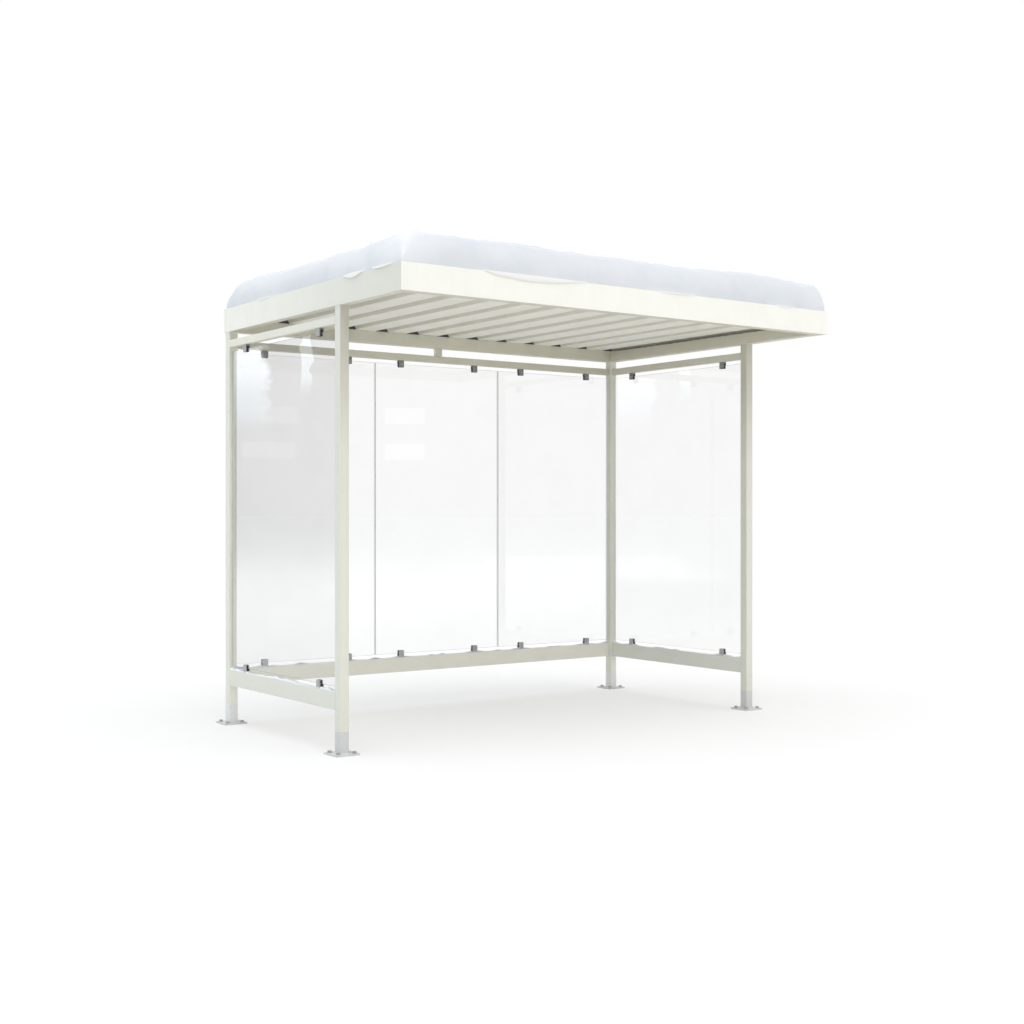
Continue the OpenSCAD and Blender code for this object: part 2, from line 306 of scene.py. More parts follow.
air = maths(sky, "MULTIPLY", openings(GAPS), ramp(sky, rise, 0.072, 0.106, 0.54, 1.45))
air_colour = blend(sky, ramp(sky, rise, 0.072, 0.106), (0.68, 0.90, 1.0, 1), (0.86, 0.95, 1.0, 1))
tone = maths(sky, "ADD", ring["Tone"], openings(WINDOWS))
tone = vectors(sky, "ADD", tone, scaled(sky, air_colour, air))
SCREEN_TOP = (0.26, 0.34)
mirrored = blend(sky, ramp(sky, rise, *SCREEN_TOP), tone, (1, 1, 1, 1))


# %% Choose what each ray of light sees
def ray_kinds(tree):
    """plain is 1 for rays that come straight from the camera, or through glass only. mirror is 1 for rays
    that were mirrored on the way. Both are 0 for the rays that carry light from one matt surface to the
    next."""
    path = put(tree, "LightPath").outputs
    sharp = maths(tree, "MAXIMUM", path["Is Glossy Ray"], path["Is Transmission Ray"])
    sharp = maths(tree, "MULTIPLY", sharp, maths(tree, "LESS_THAN", path["Diffuse Depth"], 0.5))
    bounced = maths(tree, "GREATER_THAN", path["Glossy Depth"], 0.5)
    through = maths(tree, "MULTIPLY", sharp, maths(tree, "SUBTRACT", 1.0, bounced))
    return maths(tree, "MAXIMUM", path["Is Camera Ray"], through), maths(tree, "MULTIPLY", sharp, bounced)


plain, mirror = ray_kinds(sky)
seen = blend(sky, plain, blend(sky, mirror, dome_light, mirrored), (1, 1, 1, 1))
background = put(sky, "Background", {"Color": seen, "Strength": 1.0})
put(sky, "OutputWorld", {"Surface": background.outputs[0]})
print("sky nodes:", len(sky.nodes))

# %% [markdown]
# ## The floor
#
# The floor is a plain sheet that reaches to the horizon. Paint that reflects all light doesn't exist, so a
# matt pale floor comes out a little grey. A faint glow that only direct rays see lifts it to white, and
# because the glow is added and not mixed in, the shelter's soft shadow stays. In a mirror the far floor takes
# the tone of the screens, so that they have no hard lower edge.


# %% Floor
FLOOR_WARM, FLOOR_SEEN = (0.81, 0.80, 0.775, 1), (0.49, 0.488, 0.488, 1)
FLOOR_GLOW = (0.388, 0.354)
EDGED_STRETCHES = (((1.5, 1.6), (2.49, 2.52)), ((-0.73, -0.68), (-0.60, -0.57)))


def floor_material():
    """Matt and very slightly warm. Direct rays see a darker neutral matt plus a glow that makes the open
    floor white, a little stronger near the shelter. In a mirror the share of the near floor grows with 1 /
    distance, and the rest takes the tone of the screens. The floor in front is paler there, and two stretches
    of it end at a plain edge 26 m away: one to the front right, and a pale one to the back left."""
    made = bpy.data.materials.new("studio_floor")
    made.use_nodes = True
    tree = made.node_tree
    tree.nodes.clear()
    straight, mirror = ray_kinds(tree)
    place = put(tree, "NewGeometry").outputs["Position"]
    ring = use(tree, "screen_ring", {"Vector": place})
    compass = ring["Compass"]
    away = vectors(tree, "LENGTH", place, output="Value")
    closeness = maths(tree, "DIVIDE", 1.0, away)
    right, left = (
        maths(tree, "MULTIPLY", ramp(tree, compass, *begin), ramp(tree, compass, *end, 1.0, 0.0))
        for begin, end in EDGED_STRETCHES
    )
    left = maths(tree, "MULTIPLY", left, ramp(tree, away, 12.0, 17.0))
    edged = maths(tree, "MULTIPLY", maths(tree, "MAXIMUM", right, left), ramp(tree, closeness, 0.034, 0.038))
    near_share = maths(tree, "MAXIMUM", ramp(tree, closeness, 0.003, 0.072), edged)
    far = maths(tree, "SUBTRACT", 1.0, near_share)
    sharp = maths(tree, "ADD", straight, mirror)
    matt_colour = blend(tree, sharp, FLOOR_WARM, FLOOR_SEEN)
    matt_colour = blend(tree, maths(tree, "MULTIPLY", far, mirror), matt_colour, (0, 0, 0, 1))
    matt = put(tree, "BsdfDiffuse", {"Color": matt_colour})
    in_front = ramp(tree, part_of(tree, place, "Y"), -7.0, -2.0, 0.8, 0.0)
    near = maths(tree, "ADD", maths(tree, "ADD", in_front, 0.09), maths(tree, "MULTIPLY", left, 0.6))
    around = blend(tree, far, near, ring["Tone"])
    lift = maths(tree, "MULTIPLY", straight, ramp(tree, away, 4.0, 11.0, *FLOOR_GLOW))
    glow_colour = blend(tree, mirror, lift, around)
    glow = put(tree, "Emission", {"Color": glow_colour, "Strength": 1.0})
    both = put(tree, "AddShader", {0: matt.outputs[0], 1: glow.outputs[0]})
    put(tree, "OutputMaterial", {"Surface": both.outputs[0]})
    return made


FLOOR_REACH = 300
floor_mesh = bpy.data.meshes.new("floor")
floor_corners = np.array([[-1, -1, 0], [1, -1, 0], [1, 1, 0], [-1, 1, 0]]) * FLOOR_REACH
floor_mesh.from_pydata(floor_corners.tolist(), [], [[0, 1, 2, 3]])
floor_mesh.materials.append(floor_material())
floor = bpy.data.objects.new("floor", floor_mesh)
scene.collection.objects.link(floor)
print("floor reaches", FLOOR_REACH, "m")

# %% [markdown]
# ## Effects that several finishes share
#
# Real paint, zinc and cast metal differ in colour but age in the same ways. Edges are never perfectly sharp,
# rain leaves faint upright streaks, and soil splashes up near the ground. Each effect is built once as a node
# group and then placed in every material that needs it, with its own strengths. Most are films: something
# thin that lies on a finish and hides a share of its colour. They differ only in how that share is worked
# out. Three of the films are painted shade and not dirt: on what looks into the shelter, high up under the
# roof, and on what faces left.


# %% Rounded edges
def build_edge_group():
    """Edge is how far the surface normal, averaged over Radius, turns from the true one: 1 - cos(angle), so
    it is 0 on a flat face and rises at an edge. Normal is that averaged normal, which makes the edge catch
    light."""
    outputs = {"Edge": "Float", "Normal": "Vector"}
    tree, given, result = new_group("soft_edge", {"Radius": ("Float", 0.0015)}, outputs)
    rounded = put(tree, "Bevel", {"Radius": given["Radius"]}, samples=6).outputs[0]
    true = put(tree, "NewGeometry").outputs["Normal"]
    turned = vectors(tree, "DOT_PRODUCT", rounded, true, output="Value")
    edge = ramp(tree, maths(tree, "SUBTRACT", 1.0, turned), 0.02, 0.22)
    tree.links.new(edge, result["Edge"])
    tree.links.new(rounded, result["Normal"])


build_edge_group()


# %% Fine skin of a sprayed or cast surface
def build_skin_group():
    """Height is fine noise of Scale lumps a metre, the orange peel of a coating. Mottle is noise fifty times
    coarser, for slow changes of tone."""
    inputs = {"Vector": ("Vector", None), "Scale": ("Float", 450.0)}
    tree, given, result = new_group("coat_skin", inputs, {"Height": "Float", "Mottle": "Float"})
    fine = noise(tree, given["Vector"], given["Scale"], detail=2.0)
    coarse = noise(tree, given["Vector"], maths(tree, "MULTIPLY", given["Scale"], 0.02), detail=3.0)
    tree.links.new(fine, result["Height"])
    tree.links.new(coarse, result["Mottle"])


build_skin_group()


# %% Films
def new_film(name, tint, shade, point=None, **values):
    """Opens the node group of a film. Its inputs are the Vector, perhaps one named point, the Colour below,
    the film's own tint with its shade, and plain values. It puts out the mixed Colour and the film's share as
    Mask."""
    inputs = {"Vector": ("Vector", None)}
    if point:
        inputs[point] = ("Vector", None)
    inputs["Colour"] = ("Color", (1, 1, 1, 1))
    inputs[tint] = ("Color", shade)
    for label, value in values.items():
        inputs[label] = ("Float", value)
    return new_group(name, inputs, {"Colour": "Color", "Mask": "Float"})


def lay_film(tree, given, result, tint, share):
    """Closes a film's group: mixes the tint over the colour by its share, and puts both out."""
    tree.links.new(blend(tree, share, given["Colour"], given[tint]), result["Colour"])
    tree.links.new(share, result["Mask"])


def film(tree, name, where, colour, **values):
    """Lays the film of that name on a colour in a material."""
    return use(tree, name, {"Vector": where, "Colour": colour, **values})["Colour"]


# %% Rain streaks
def build_streak_group():
    """Noise on coordinates that are squeezed twelvefold in Z gives long upright marks. The share of Stain
    mixed into Colour is that noise, from 0 to Amount."""
    tree, given, result = new_film("rain_streaks", "Stain", (0.5, 0.5, 0.5, 1), Amount=0.1)
    squeezed = vectors(tree, "MULTIPLY", given["Vector"], (1.0, 1.0, 0.08))
    marks = ramp(tree, noise(tree, squeezed, 55.0, detail=3.0, rough=0.6), 0.42, 0.72)
    lay_film(tree, given, result, "Stain", maths(tree, "MULTIPLY", marks, given["Amount"]))


build_streak_group()


# %% Splashes near the ground
def build_splash_group():
    """Soil fades out upwards from Low to High, broken up by noise. Mask is its share, at most Amount."""
    soil = (0.3, 0.27, 0.22, 1)
    tree, given, result = new_film("ground_splash", "Soil", soil, Low=0.1, High=0.4, Amount=0.2)
    height = part_of(tree, given["Vector"], "Z")
    fade = put(tree, "MapRange", {0: height, 1: given["Low"], 2: given["High"], 3: 1.0, 4: 0.0}).outputs[0]
    specks = ramp(tree, noise(tree, given["Vector"], 70.0, detail=5.0, rough=0.7), 0.35, 0.75)
    share = maths(tree, "MULTIPLY", maths(tree, "MULTIPLY", fade, specks), given["Amount"])
    lay_film(tree, given, result, "Soil", share)


build_splash_group()


# %% Powder of snow on upper faces
def build_frost_group():
    """A dusting lies where the surface faces up: the Z of the normal from 0.6 to 0.95, times soft patches of
    noise, times Amount."""
    tree, given, result = new_film("snow_powder", "Snow", (0.8, 0.85, 0.92, 1), Amount=0.5)
    upper = ramp(tree, facing(tree, "Z"), 0.6, 0.95)
    patches = ramp(tree, noise(tree, given["Vector"], 28.0, detail=6.0, rough=0.65), 0.40, 0.62)
    share = maths(tree, "MULTIPLY", maths(tree, "MULTIPLY", upper, patches), given["Amount"])
    lay_film(tree, given, result, "Snow", share)


build_frost_group()


# %% Painted shade on what looks inwards
def build_inward_shade_group():
    """Painted shade: a darker, yellowish tint on what looks into the shelter, where less light falls. Mask =
    a smooth step of the cosine between the surface's normal and the way to the middle of the shelter, broken
    up a little by noise."""
    tree, given, result = new_film("inward_painted_shade", "InwardShade", (0.7, 0.68, 0.58, 1), point="Middle", Amount=0.5)
    way = vectors(tree, "NORMALIZE", vectors(tree, "SUBTRACT", given["Middle"], given["Vector"]))
    inwards = vectors(tree, "DOT_PRODUCT", way, put(tree, "NewGeometry").outputs["Normal"], output="Value")
    uneven = ramp(tree, noise(tree, given["Vector"], 7.0, detail=4.0), 0.3, 0.7, 0.86, 1.0)
    share = maths(tree, "MULTIPLY", ramp(tree, inwards, 0.0, 0.3), given["Amount"])
    lay_film(tree, given, result, "InwardShade", maths(tree, "MULTIPLY", share, uneven))


build_inward_shade_group()


# %% Painted shade under the roof
def build_roof_shade_group():
    """Painted shade high up, where the roof shades what lies under it. Mask is a smooth step of the height
    from
    Low to High, times Amount. It is left off the outer sides, where X of the normal times X of the place is
    well above 0, which get light from beside the roof."""
    roof_shade = (0.43, 0.41, 0.34, 1)
    tree, given, result = new_film("under_roof_painted_shade", "Soot", roof_shade, Low=1.35, High=2.15, Amount=0.6)
    outer = maths(tree, "MULTIPLY", facing(tree, "X"), part_of(tree, given["Vector"], "X"))
    not_outer = ramp(tree, outer, 0.4, 1.0, 1.0, 0.0)
    risen = ramp(tree, part_of(tree, given["Vector"], "Z"), given["Low"], given["High"])
    share = maths(tree, "MULTIPLY", maths(tree, "MULTIPLY", risen, given["Amount"]), not_outer)
    lay_film(tree, given, result, "Soot", share)


build_roof_shade_group()


# %% Painted shade on what faces left
def build_left_shade_group():
    """Painted shade on what faces left, most of it at one corner, so that a left face darkens towards it.
    Mask = a smooth step of the cosine between the normal and the left, times a share that falls from 1 at
    Corner to
    Rest at Reach."""
    dust = (0.72, 0.74, 0.69, 1)
    tree, given, result = new_film("windward_dust", "LeftShade", dust, point="Corner", Reach=1.75, Rest=0.0)
    windward = ramp(tree, facing(tree, "X"), -0.85, 0.12, 1.0, 0.0)
    apart = plan_distance(tree, given["Vector"], given["Corner"])
    share = maths(tree, "MULTIPLY", windward, ramp(tree, apart, 0.0, given["Reach"], 1.0, given["Rest"]))
    lay_film(tree, given, result, "LeftShade", share)


build_left_shade_group()
print("node groups:", sorted(g.name for g in bpy.data.node_groups))

# %% [markdown]
# ## Cream powder coat
#
# The frame is sprayed with dry powder that melts into a tough skin. It is smooth to the hand but has a faint
# orange peel, which breaks up reflections. A single flat colour would look like card, so tone and gloss drift
# a little, edges are a touch lighter where the coat is thin, rain has left faint streaks, and the lowest part
# of each post has a breath of soil. Some of the tone is painted light and shade: a darker, yellowish tint on
# what looks into the shelter, the beams under the roof most of all, a darker band high under the roof, left
# faces that darken towards the front left corner, and paler or darker copies of the cream for posts and
# rails. Below the ground line the posts are grey: that part is set in the ground and only primed.


# %% Start of a material
def start_material(name):
    """A material with one Principled shader wired to its output, its node tree, and the object's
    coordinates."""
    made = bpy.data.materials.new(name)
    made.use_nodes = True
    tree = made.node_tree
    tree.nodes.clear()
    shader = put(tree, "BsdfPrincipled")
    put(tree, "OutputMaterial", {"Surface": shader.outputs[0]})
    return made, tree, shader, put(tree, "TexCoord").outputs["Object"]


def relief(tree, shader, height, distance, strength=1.0, base=None):
    """Bump of the given depth in metres, on top of a base normal such as that of a rounded edge."""
    sockets = {"Height": height, "Distance": distance, "Strength": strength}
    if base is not None:
        sockets["Normal"] = base
    tree.links.new(put(tree, "Bump", sockets).outputs[0], shader.inputs["Normal"])


# Lit and shaded copies of one cream coat. The darker ones are painted shade: for the front posts, the lower
# rails, and the rails and beams under the roof. The back posts' copy is paler: painted light, and so is the
# paler primer of their feet. The yellowish tint that darkens faces looking into the shelter is painted shade
# too.
CREAM = linear(244, 245, 239)
CREAM_FRONT_POST_SHADED = linear(223, 223, 213)
CREAM_BACK_POST_LIT = linear(243, 244, 235)
CREAM_RAIL = linear(233, 233, 223)
CREAM_LOW = linear(237, 237, 227)
CREAM_INWARD_SHADE = linear(204, 201, 186)
CREAM_THIN = linear(247, 247, 241)
CREAM_STAIN = linear(204, 201, 186)
PRIMER = linear(209, 210, 211)
PRIMER_BACK_LIT = linear(232, 233, 233)
SOIL = linear(150, 142, 126)


# %% Powder coat recipe
PAINT_WOBBLE = 1.2 * MM
SPLASH_TOP = 0.42


def powder_coat(
    name, cream, streaks=0.04, inward_shade=0.0, soil=0.0, powder_and_highlight=0.0, dust=None, roof_shade=0.0, primer=None
):
    """Cream coat: base colour, thin edges, painted shade on inward faces, on faces to the left and high under
    the roof, streaks, primed foot, soil and snow powder, each mixed over the last. The share given for the
    left faces is how much of that shade is left away from the front left corner."""
    made, tree, shader, where = start_material(name)
    skin = use(tree, "coat_skin", {"Vector": where, "Scale": 420.0})
    edge = use(tree, "soft_edge", {"Radius": 1.6 * MM})
    colour = blend(tree, ramp(tree, skin["Mottle"], 0.3, 0.7, 0.0, 0.07), cream, CREAM_STAIN)
    colour = blend(tree, maths(tree, "MULTIPLY", edge["Edge"], 0.6), colour, CREAM_THIN)
    # Painted shade: a darker, yellowish tint on faces that look into the shelter.
    if inward_shade:
        inward_shaded = {"Middle": shelter_middle, "InwardShade": CREAM_INWARD_SHADE, "Amount": inward_shade}
        colour = film(tree, "inward_painted_shade", where, colour, **inward_shaded)
    # Painted shade on faces to the left, strongest at the front left corner.
    if dust is not None:
        colour = film(tree, "windward_dust", where, colour, Corner=front_left_corner, Rest=dust)
    # Painted shade: darker high up under the roof.
    if roof_shade:
        colour = film(tree, "under_roof_painted_shade", where, colour, Amount=roof_shade)
    streaked = {"Vector": where, "Colour": colour, "Stain": CREAM_STAIN, "Amount": streaks}
    streak = use(tree, "rain_streaks", streaked)
    colour = streak["Colour"]
    if primer:
        wobble = maths(tree, "MULTIPLY", noise(tree, where, 90.0), PAINT_WOBBLE)
        height = maths(tree, "ADD", part_of(tree, where, "Z"), wobble)
        below = ramp(tree, height, GROUND_LINE - 0.2 * MM, GROUND_LINE + 1.2 * MM, 1.0, 0.0)
        colour = blend(tree, below, colour, primer)
    if soil:
        soiled = {"Soil": SOIL, "Low": GROUND_LINE, "High": SPLASH_TOP, "Amount": soil}
        colour = film(tree, "ground_splash", where, colour, **soiled)
    if powder_and_highlight:
        colour = film(tree, "snow_powder", where, colour, Amount=powder_and_highlight)
    tree.links.new(colour, shader.inputs["Base Color"])
    gloss = ramp(tree, skin["Mottle"], 0.25, 0.75, 0.36, 0.46)
    tree.links.new(maths(tree, "ADD", gloss, streak["Mask"]), shader.inputs["Roughness"])
    relief(tree, shader, skin["Height"], 0.06 * MM, 0.5, edge["Normal"])
    return made


MOUTH_HEIGHT = 1.3
inner_low, inner_high = corners("glass_left")[0], corners("glass_right")[1]
shelter_middle = (0.0, (inner_low[1] + inner_high[1]) / 2, MOUTH_HEIGHT)
front_left_corner = tuple(corners("fascia_front")[0].tolist())
paint = powder_coat("cream_powder_coat", CREAM, dust=0.0)
paint_under_roof = powder_coat("cream_under_the_roof", CREAM_RAIL, inward_shade=1.0, dust=0.0)
paint_post = powder_coat("cream_front_post", CREAM_FRONT_POST_SHADED, soil=0.12, dust=0.4, roof_shade=0.6, primer=PRIMER)
paint_back_post = powder_coat(
    "cream_back_post", CREAM_BACK_POST_LIT, inward_shade=0.1, soil=0.12, dust=0.6, roof_shade=0.25, primer=PRIMER_BACK_LIT
)
paint_rail = powder_coat("cream_lower_rail", CREAM_LOW, soil=0.08, powder_and_highlight=0.75, dust=0.7)
# The right upper rail gets less of the painted shade on faces that look inwards.
paint_less_shaded = powder_coat("cream_less_inward_shade", CREAM_RAIL, inward_shade=0.75)
print("cream finishes:", [m.name for m in bpy.data.materials if m.name.startswith("cream")])

# %% [markdown]
# ## Roof sheet, feet, clamps and rubber
#
# The roof sheet is coated at the mill by rollers, which leave very fine lines along the ribs, so its noise is
# stretched along Y. The feet are dipped in molten zinc and then primed: zinc sets in flat crystals, and a
# Voronoi pattern gives their patchwork. The clamps are cast and tumbled, which leaves a satin skin with small
# pits. The rubber between jaw and glass is almost black with a matt bloom, and foam and sealant are greyer
# kinds of it.


# %% Roof sheet
sheet_level = corners("roof_sheet_left")[0][2]


def roof_sheet_coat():
    """Mill coat: a warm off-white with roller lines along Y. It is paler towards the back: painted light,
    where less light reaches the underside. Inside the flutes of the ribs it is darker: painted shade. The
    share of that shade rises just above the sheet's flats."""
    made, tree, shader, where = start_material("mill_coated_sheet")
    skin = use(tree, "coat_skin", {"Vector": where, "Scale": 260.0})
    rolled = noise(tree, vectors(tree, "MULTIPLY", where, (1.0, 0.02, 1.0)), 500.0, detail=3.0)
    # Paler towards the back than at the open front: painted light.
    grey, lit_back_tone = linear(237, 237, 228), linear(251, 251, 244)
    open_front = corners("fascia_front")[0][1]
    colour = blend(tree, ramp(tree, part_of(tree, where, "Y"), open_front, 0.9), grey, lit_back_tone)
    colour = blend(tree, ramp(tree, skin["Mottle"], 0.3, 0.7, 0.0, 0.12), colour, CREAM_STAIN)
    colour = blend(tree, ramp(tree, rolled, 0.4, 0.8, 0.0, 0.05), colour, linear(214, 211, 200))
    # Painted shade inside the flutes of the ribs.
    flute_shade = ramp(tree, part_of(tree, where, "Z"), sheet_level + 1.1 * MM, sheet_level + 3.5 * MM, 0.0, 0.85)
    colour = blend(tree, flute_shade, colour, linear(211, 208, 196))
    colour = film(tree, "snow_powder", where, colour, Amount=0.9)
    tree.links.new(colour, shader.inputs["Base Color"])
    tree.links.new(ramp(tree, rolled, 0.3, 0.8, 0.42, 0.55), shader.inputs["Roughness"])
    relief(tree, shader, rolled, 0.03 * MM, 0.4)
    return made


sheet_coat = roof_sheet_coat()


# %% Primed zinc of the feet
def primed_zinc():
    """Zinc crystals are Voronoi cells about 14 mm wide, each with its own tone, under a thin grey primer."""
    made, tree, shader, where = start_material("primed_zinc")
    skin = use(tree, "coat_skin", {"Vector": where, "Scale": 600.0})
    edge = use(tree, "soft_edge", {"Radius": 1.2 * MM})
    cell = put(tree, "TexVoronoi", {"Vector": where, "Scale": 70.0, "Randomness": 1.0}).outputs["Color"]
    tone = put(tree, "SeparateColor", {0: cell}).outputs[0]
    colour = blend(tree, ramp(tree, tone, 0.0, 1.0, 0.0, 0.35), PRIMER, linear(192, 195, 198))
    colour = blend(tree, maths(tree, "MULTIPLY", edge["Edge"], 0.5), colour, linear(222, 223, 224))
    colour = film(tree, "ground_splash", where, colour, Soil=SOIL, Low=0.0, High=0.06, Amount=0.14)
    tree.links.new(colour, shader.inputs["Base Color"])
    tree.links.new(ramp(tree, tone, 0.0, 1.0, 0.42, 0.58), shader.inputs["Roughness"])
    relief(tree, shader, skin["Height"], 0.08 * MM, 0.5, edge["Normal"])
    return made


zinc = primed_zinc()


# %% Satin cast metal and bright fasteners
def satin_metal(name, dark, pale, rough, scale, metallic=1.0, roof_shade=0.0):
    """Metal: tone and roughness follow the same mottle, pits come from the skin, edges are polished by wear.
    A low metallic stands for a thick grey oxide, which scatters light more than it mirrors it."""
    made, tree, shader, where = start_material(name)
    skin = use(tree, "coat_skin", {"Vector": where, "Scale": scale})
    edge = use(tree, "soft_edge", {"Radius": 0.8 * MM})
    colour = blend(tree, ramp(tree, skin["Mottle"], 0.3, 0.7), dark, pale)
    colour = blend(tree, maths(tree, "MULTIPLY", edge["Edge"], 0.5), colour, linear(214, 216, 219))
    # Painted shade: darker high up under the roof, so the upper clamps are darker.
    if roof_shade:
        colour = film(tree, "under_roof_painted_shade", where, colour, Soot=linear(90, 90, 91), Amount=roof_shade)
    tree.links.new(colour, shader.inputs["Base Color"])
    worn = maths(tree, "MULTIPLY", edge["Edge"], -0.1)
    gloss = maths(tree, "ADD", ramp(tree, skin["Mottle"], 0.2, 0.8, rough, rough + 0.12), worn)
    tree.links.new(gloss, shader.inputs["Roughness"])
    shader.inputs["Metallic"].default_value = metallic
    relief(tree, shader, skin["Height"], 0.05 * MM, 0.6, edge["Normal"])
    return made


cast_metal = satin_metal(
    "satin_cast_metal", linear(165, 166, 168), linear(181, 182, 184), 0.45, 900.0, metallic=0.0, roof_shade=0.65
)
bolt_zinc = satin_metal("zinc_plated_bolt", linear(176, 179, 184), linear(196, 198, 202), 0.34, 700.0)


# %% Rubber, foam and sealant
def matt_rubber(name, dark, bloom):
    """Soft matt stuff: fine grain in the relief and a slightly paler bloom in patches."""
    made, tree, shader, where = start_material(name)
    skin = use(tree, "coat_skin", {"Vector": where, "Scale": 1400.0})
    colour = blend(tree, ramp(tree, skin["Mottle"], 0.35, 0.75, 0.0, 0.5), dark, bloom)
    tree.links.new(colour, shader.inputs["Base Color"])
    tree.links.new(ramp(tree, skin["Mottle"], 0.2, 0.8, 0.62, 0.8), shader.inputs["Roughness"])
    relief(tree, shader, skin["Height"], 0.06 * MM, 0.8)
    return made


rubber = matt_rubber("black_rubber", linear(34, 34, 36), linear(58, 58, 60))
# The foam and the sealant are dark enough to stand for shade where they sit: painted shade in the flute ends
# and along the end beams.
shade_foam = matt_rubber("dark_foam_painted_shade", linear(66, 70, 80), linear(86, 90, 98))
shade_sealant = matt_rubber("dark_sealant_painted_shade", linear(110, 107, 99), linear(132, 128, 119))
print("metal and rubber finishes are ready")

# %% [markdown]
# ## Glass
#
# The panes are toughened float glass, 8 mm thick. Clear glass is best left to the shader: full transmission,
# no roughness, an index of 1.5, and a breath of film. Lamps would cast a hard black shadow through such a
# solid, so shadow rays are let through by mixing in a transparent shader for them alone. The ground edges are
# matt and need a finish of their own: they are the thin grey lines by which one sees where a pane ends.


# %% Clear glass
GLASS_INDEX = 1.5


def clear_glass():
    """Principled glass with a faint uneven film, and transparent to shadow rays."""
    made, tree, shader, where = start_material("toughened_glass")
    haze = ramp(tree, noise(tree, where, 5.0, detail=4.0, rough=0.6), 0.3, 0.8)
    colour = blend(tree, haze, linear(251, 251, 251), linear(249, 249, 249))
    fill(tree, shader, {"Base Color": colour, "Transmission Weight": 1.0})
    fill(tree, shader, {"Roughness": 0.0, "IOR": GLASS_INDEX})
    path = put(tree, "LightPath").outputs
    open_to_lamps = put(tree, "BsdfTransparent").outputs[0]
    mixed = put(tree, "MixShader", {0: path["Is Shadow Ray"], 1: shader.outputs[0], 2: open_to_lamps})
    end = next(n for n in tree.nodes if n.type == "OUTPUT_MATERIAL")
    tree.links.new(mixed.outputs[0], end.inputs["Surface"])
    return made


glass = clear_glass()
print("glass index", GLASS_INDEX)


# %% Ground edge
def ground_edge(name, dark, pale, bottom_shade=None):
    """The edge left by the grinding wheel: matt grey-green, with fine scratches along it from noise on
    coordinates that are stretched two hundredfold in Z. Where it faces down it can be given a dark tone:
    painted shade."""
    made, tree, shader, where = start_material(name)
    scratches = noise(tree, vectors(tree, "MULTIPLY", where, (1.0, 1.0, 0.005)), 2400.0, detail=2.0)
    colour = blend(tree, ramp(tree, scratches, 0.3, 0.7), dark, pale)
    if bottom_shade:
        # Painted shade: faces that look down take the dark tone.
        colour = blend(tree, ramp(tree, facing(tree, "Z"), -0.65, -0.35, 1.0, 0.0), colour, bottom_shade)
    tree.links.new(colour, shader.inputs["Base Color"])
    tree.links.new(ramp(tree, scratches, 0.2, 0.8, 0.45, 0.65), shader.inputs["Roughness"])
    relief(tree, shader, scratches, 0.02 * MM, 0.5)
    return made


matt_edge = ground_edge("ground_glass_edge", linear(194, 200, 197), linear(210, 214, 211))
# A much paler copy of the edge finish: painted light for the right-facing edge of the back panes.
bright_edge = ground_edge("bright_ground_glass_edge", linear(238, 241, 238), linear(248, 250, 248))
FINE_EDGE = linear(196, 200, 194), linear(214, 217, 211)
pale_edge = ground_edge("fine_ground_glass_edge", *FINE_EDGE)
# Its faces that look down are almost black: painted shade.
shaded_bottom_edge = ground_edge("shaded_bottom_ground_glass_edge", *FINE_EDGE, bottom_shade=linear(52, 54, 56))
print("edge finishes:", [m.name for m in bpy.data.materials if m.name.endswith("glass_edge")])

# %% [markdown]
# ## Snow
#
# Snow is bright because light wanders between its grains and comes out again, bluer than it went in. A matt
# white with a slight blue cast and a little light spread below the surface does that. Its relief is on two
# scales: soft lumps a few centimetres wide where the surface has settled, and the grains themselves. Part of
# its tone is painted light: the lips and what faces left are whiter, a painted highlight, the tops of the
# drift are darker, painted shade, and the thin snow on the rails is darker and greyer, painted shade.


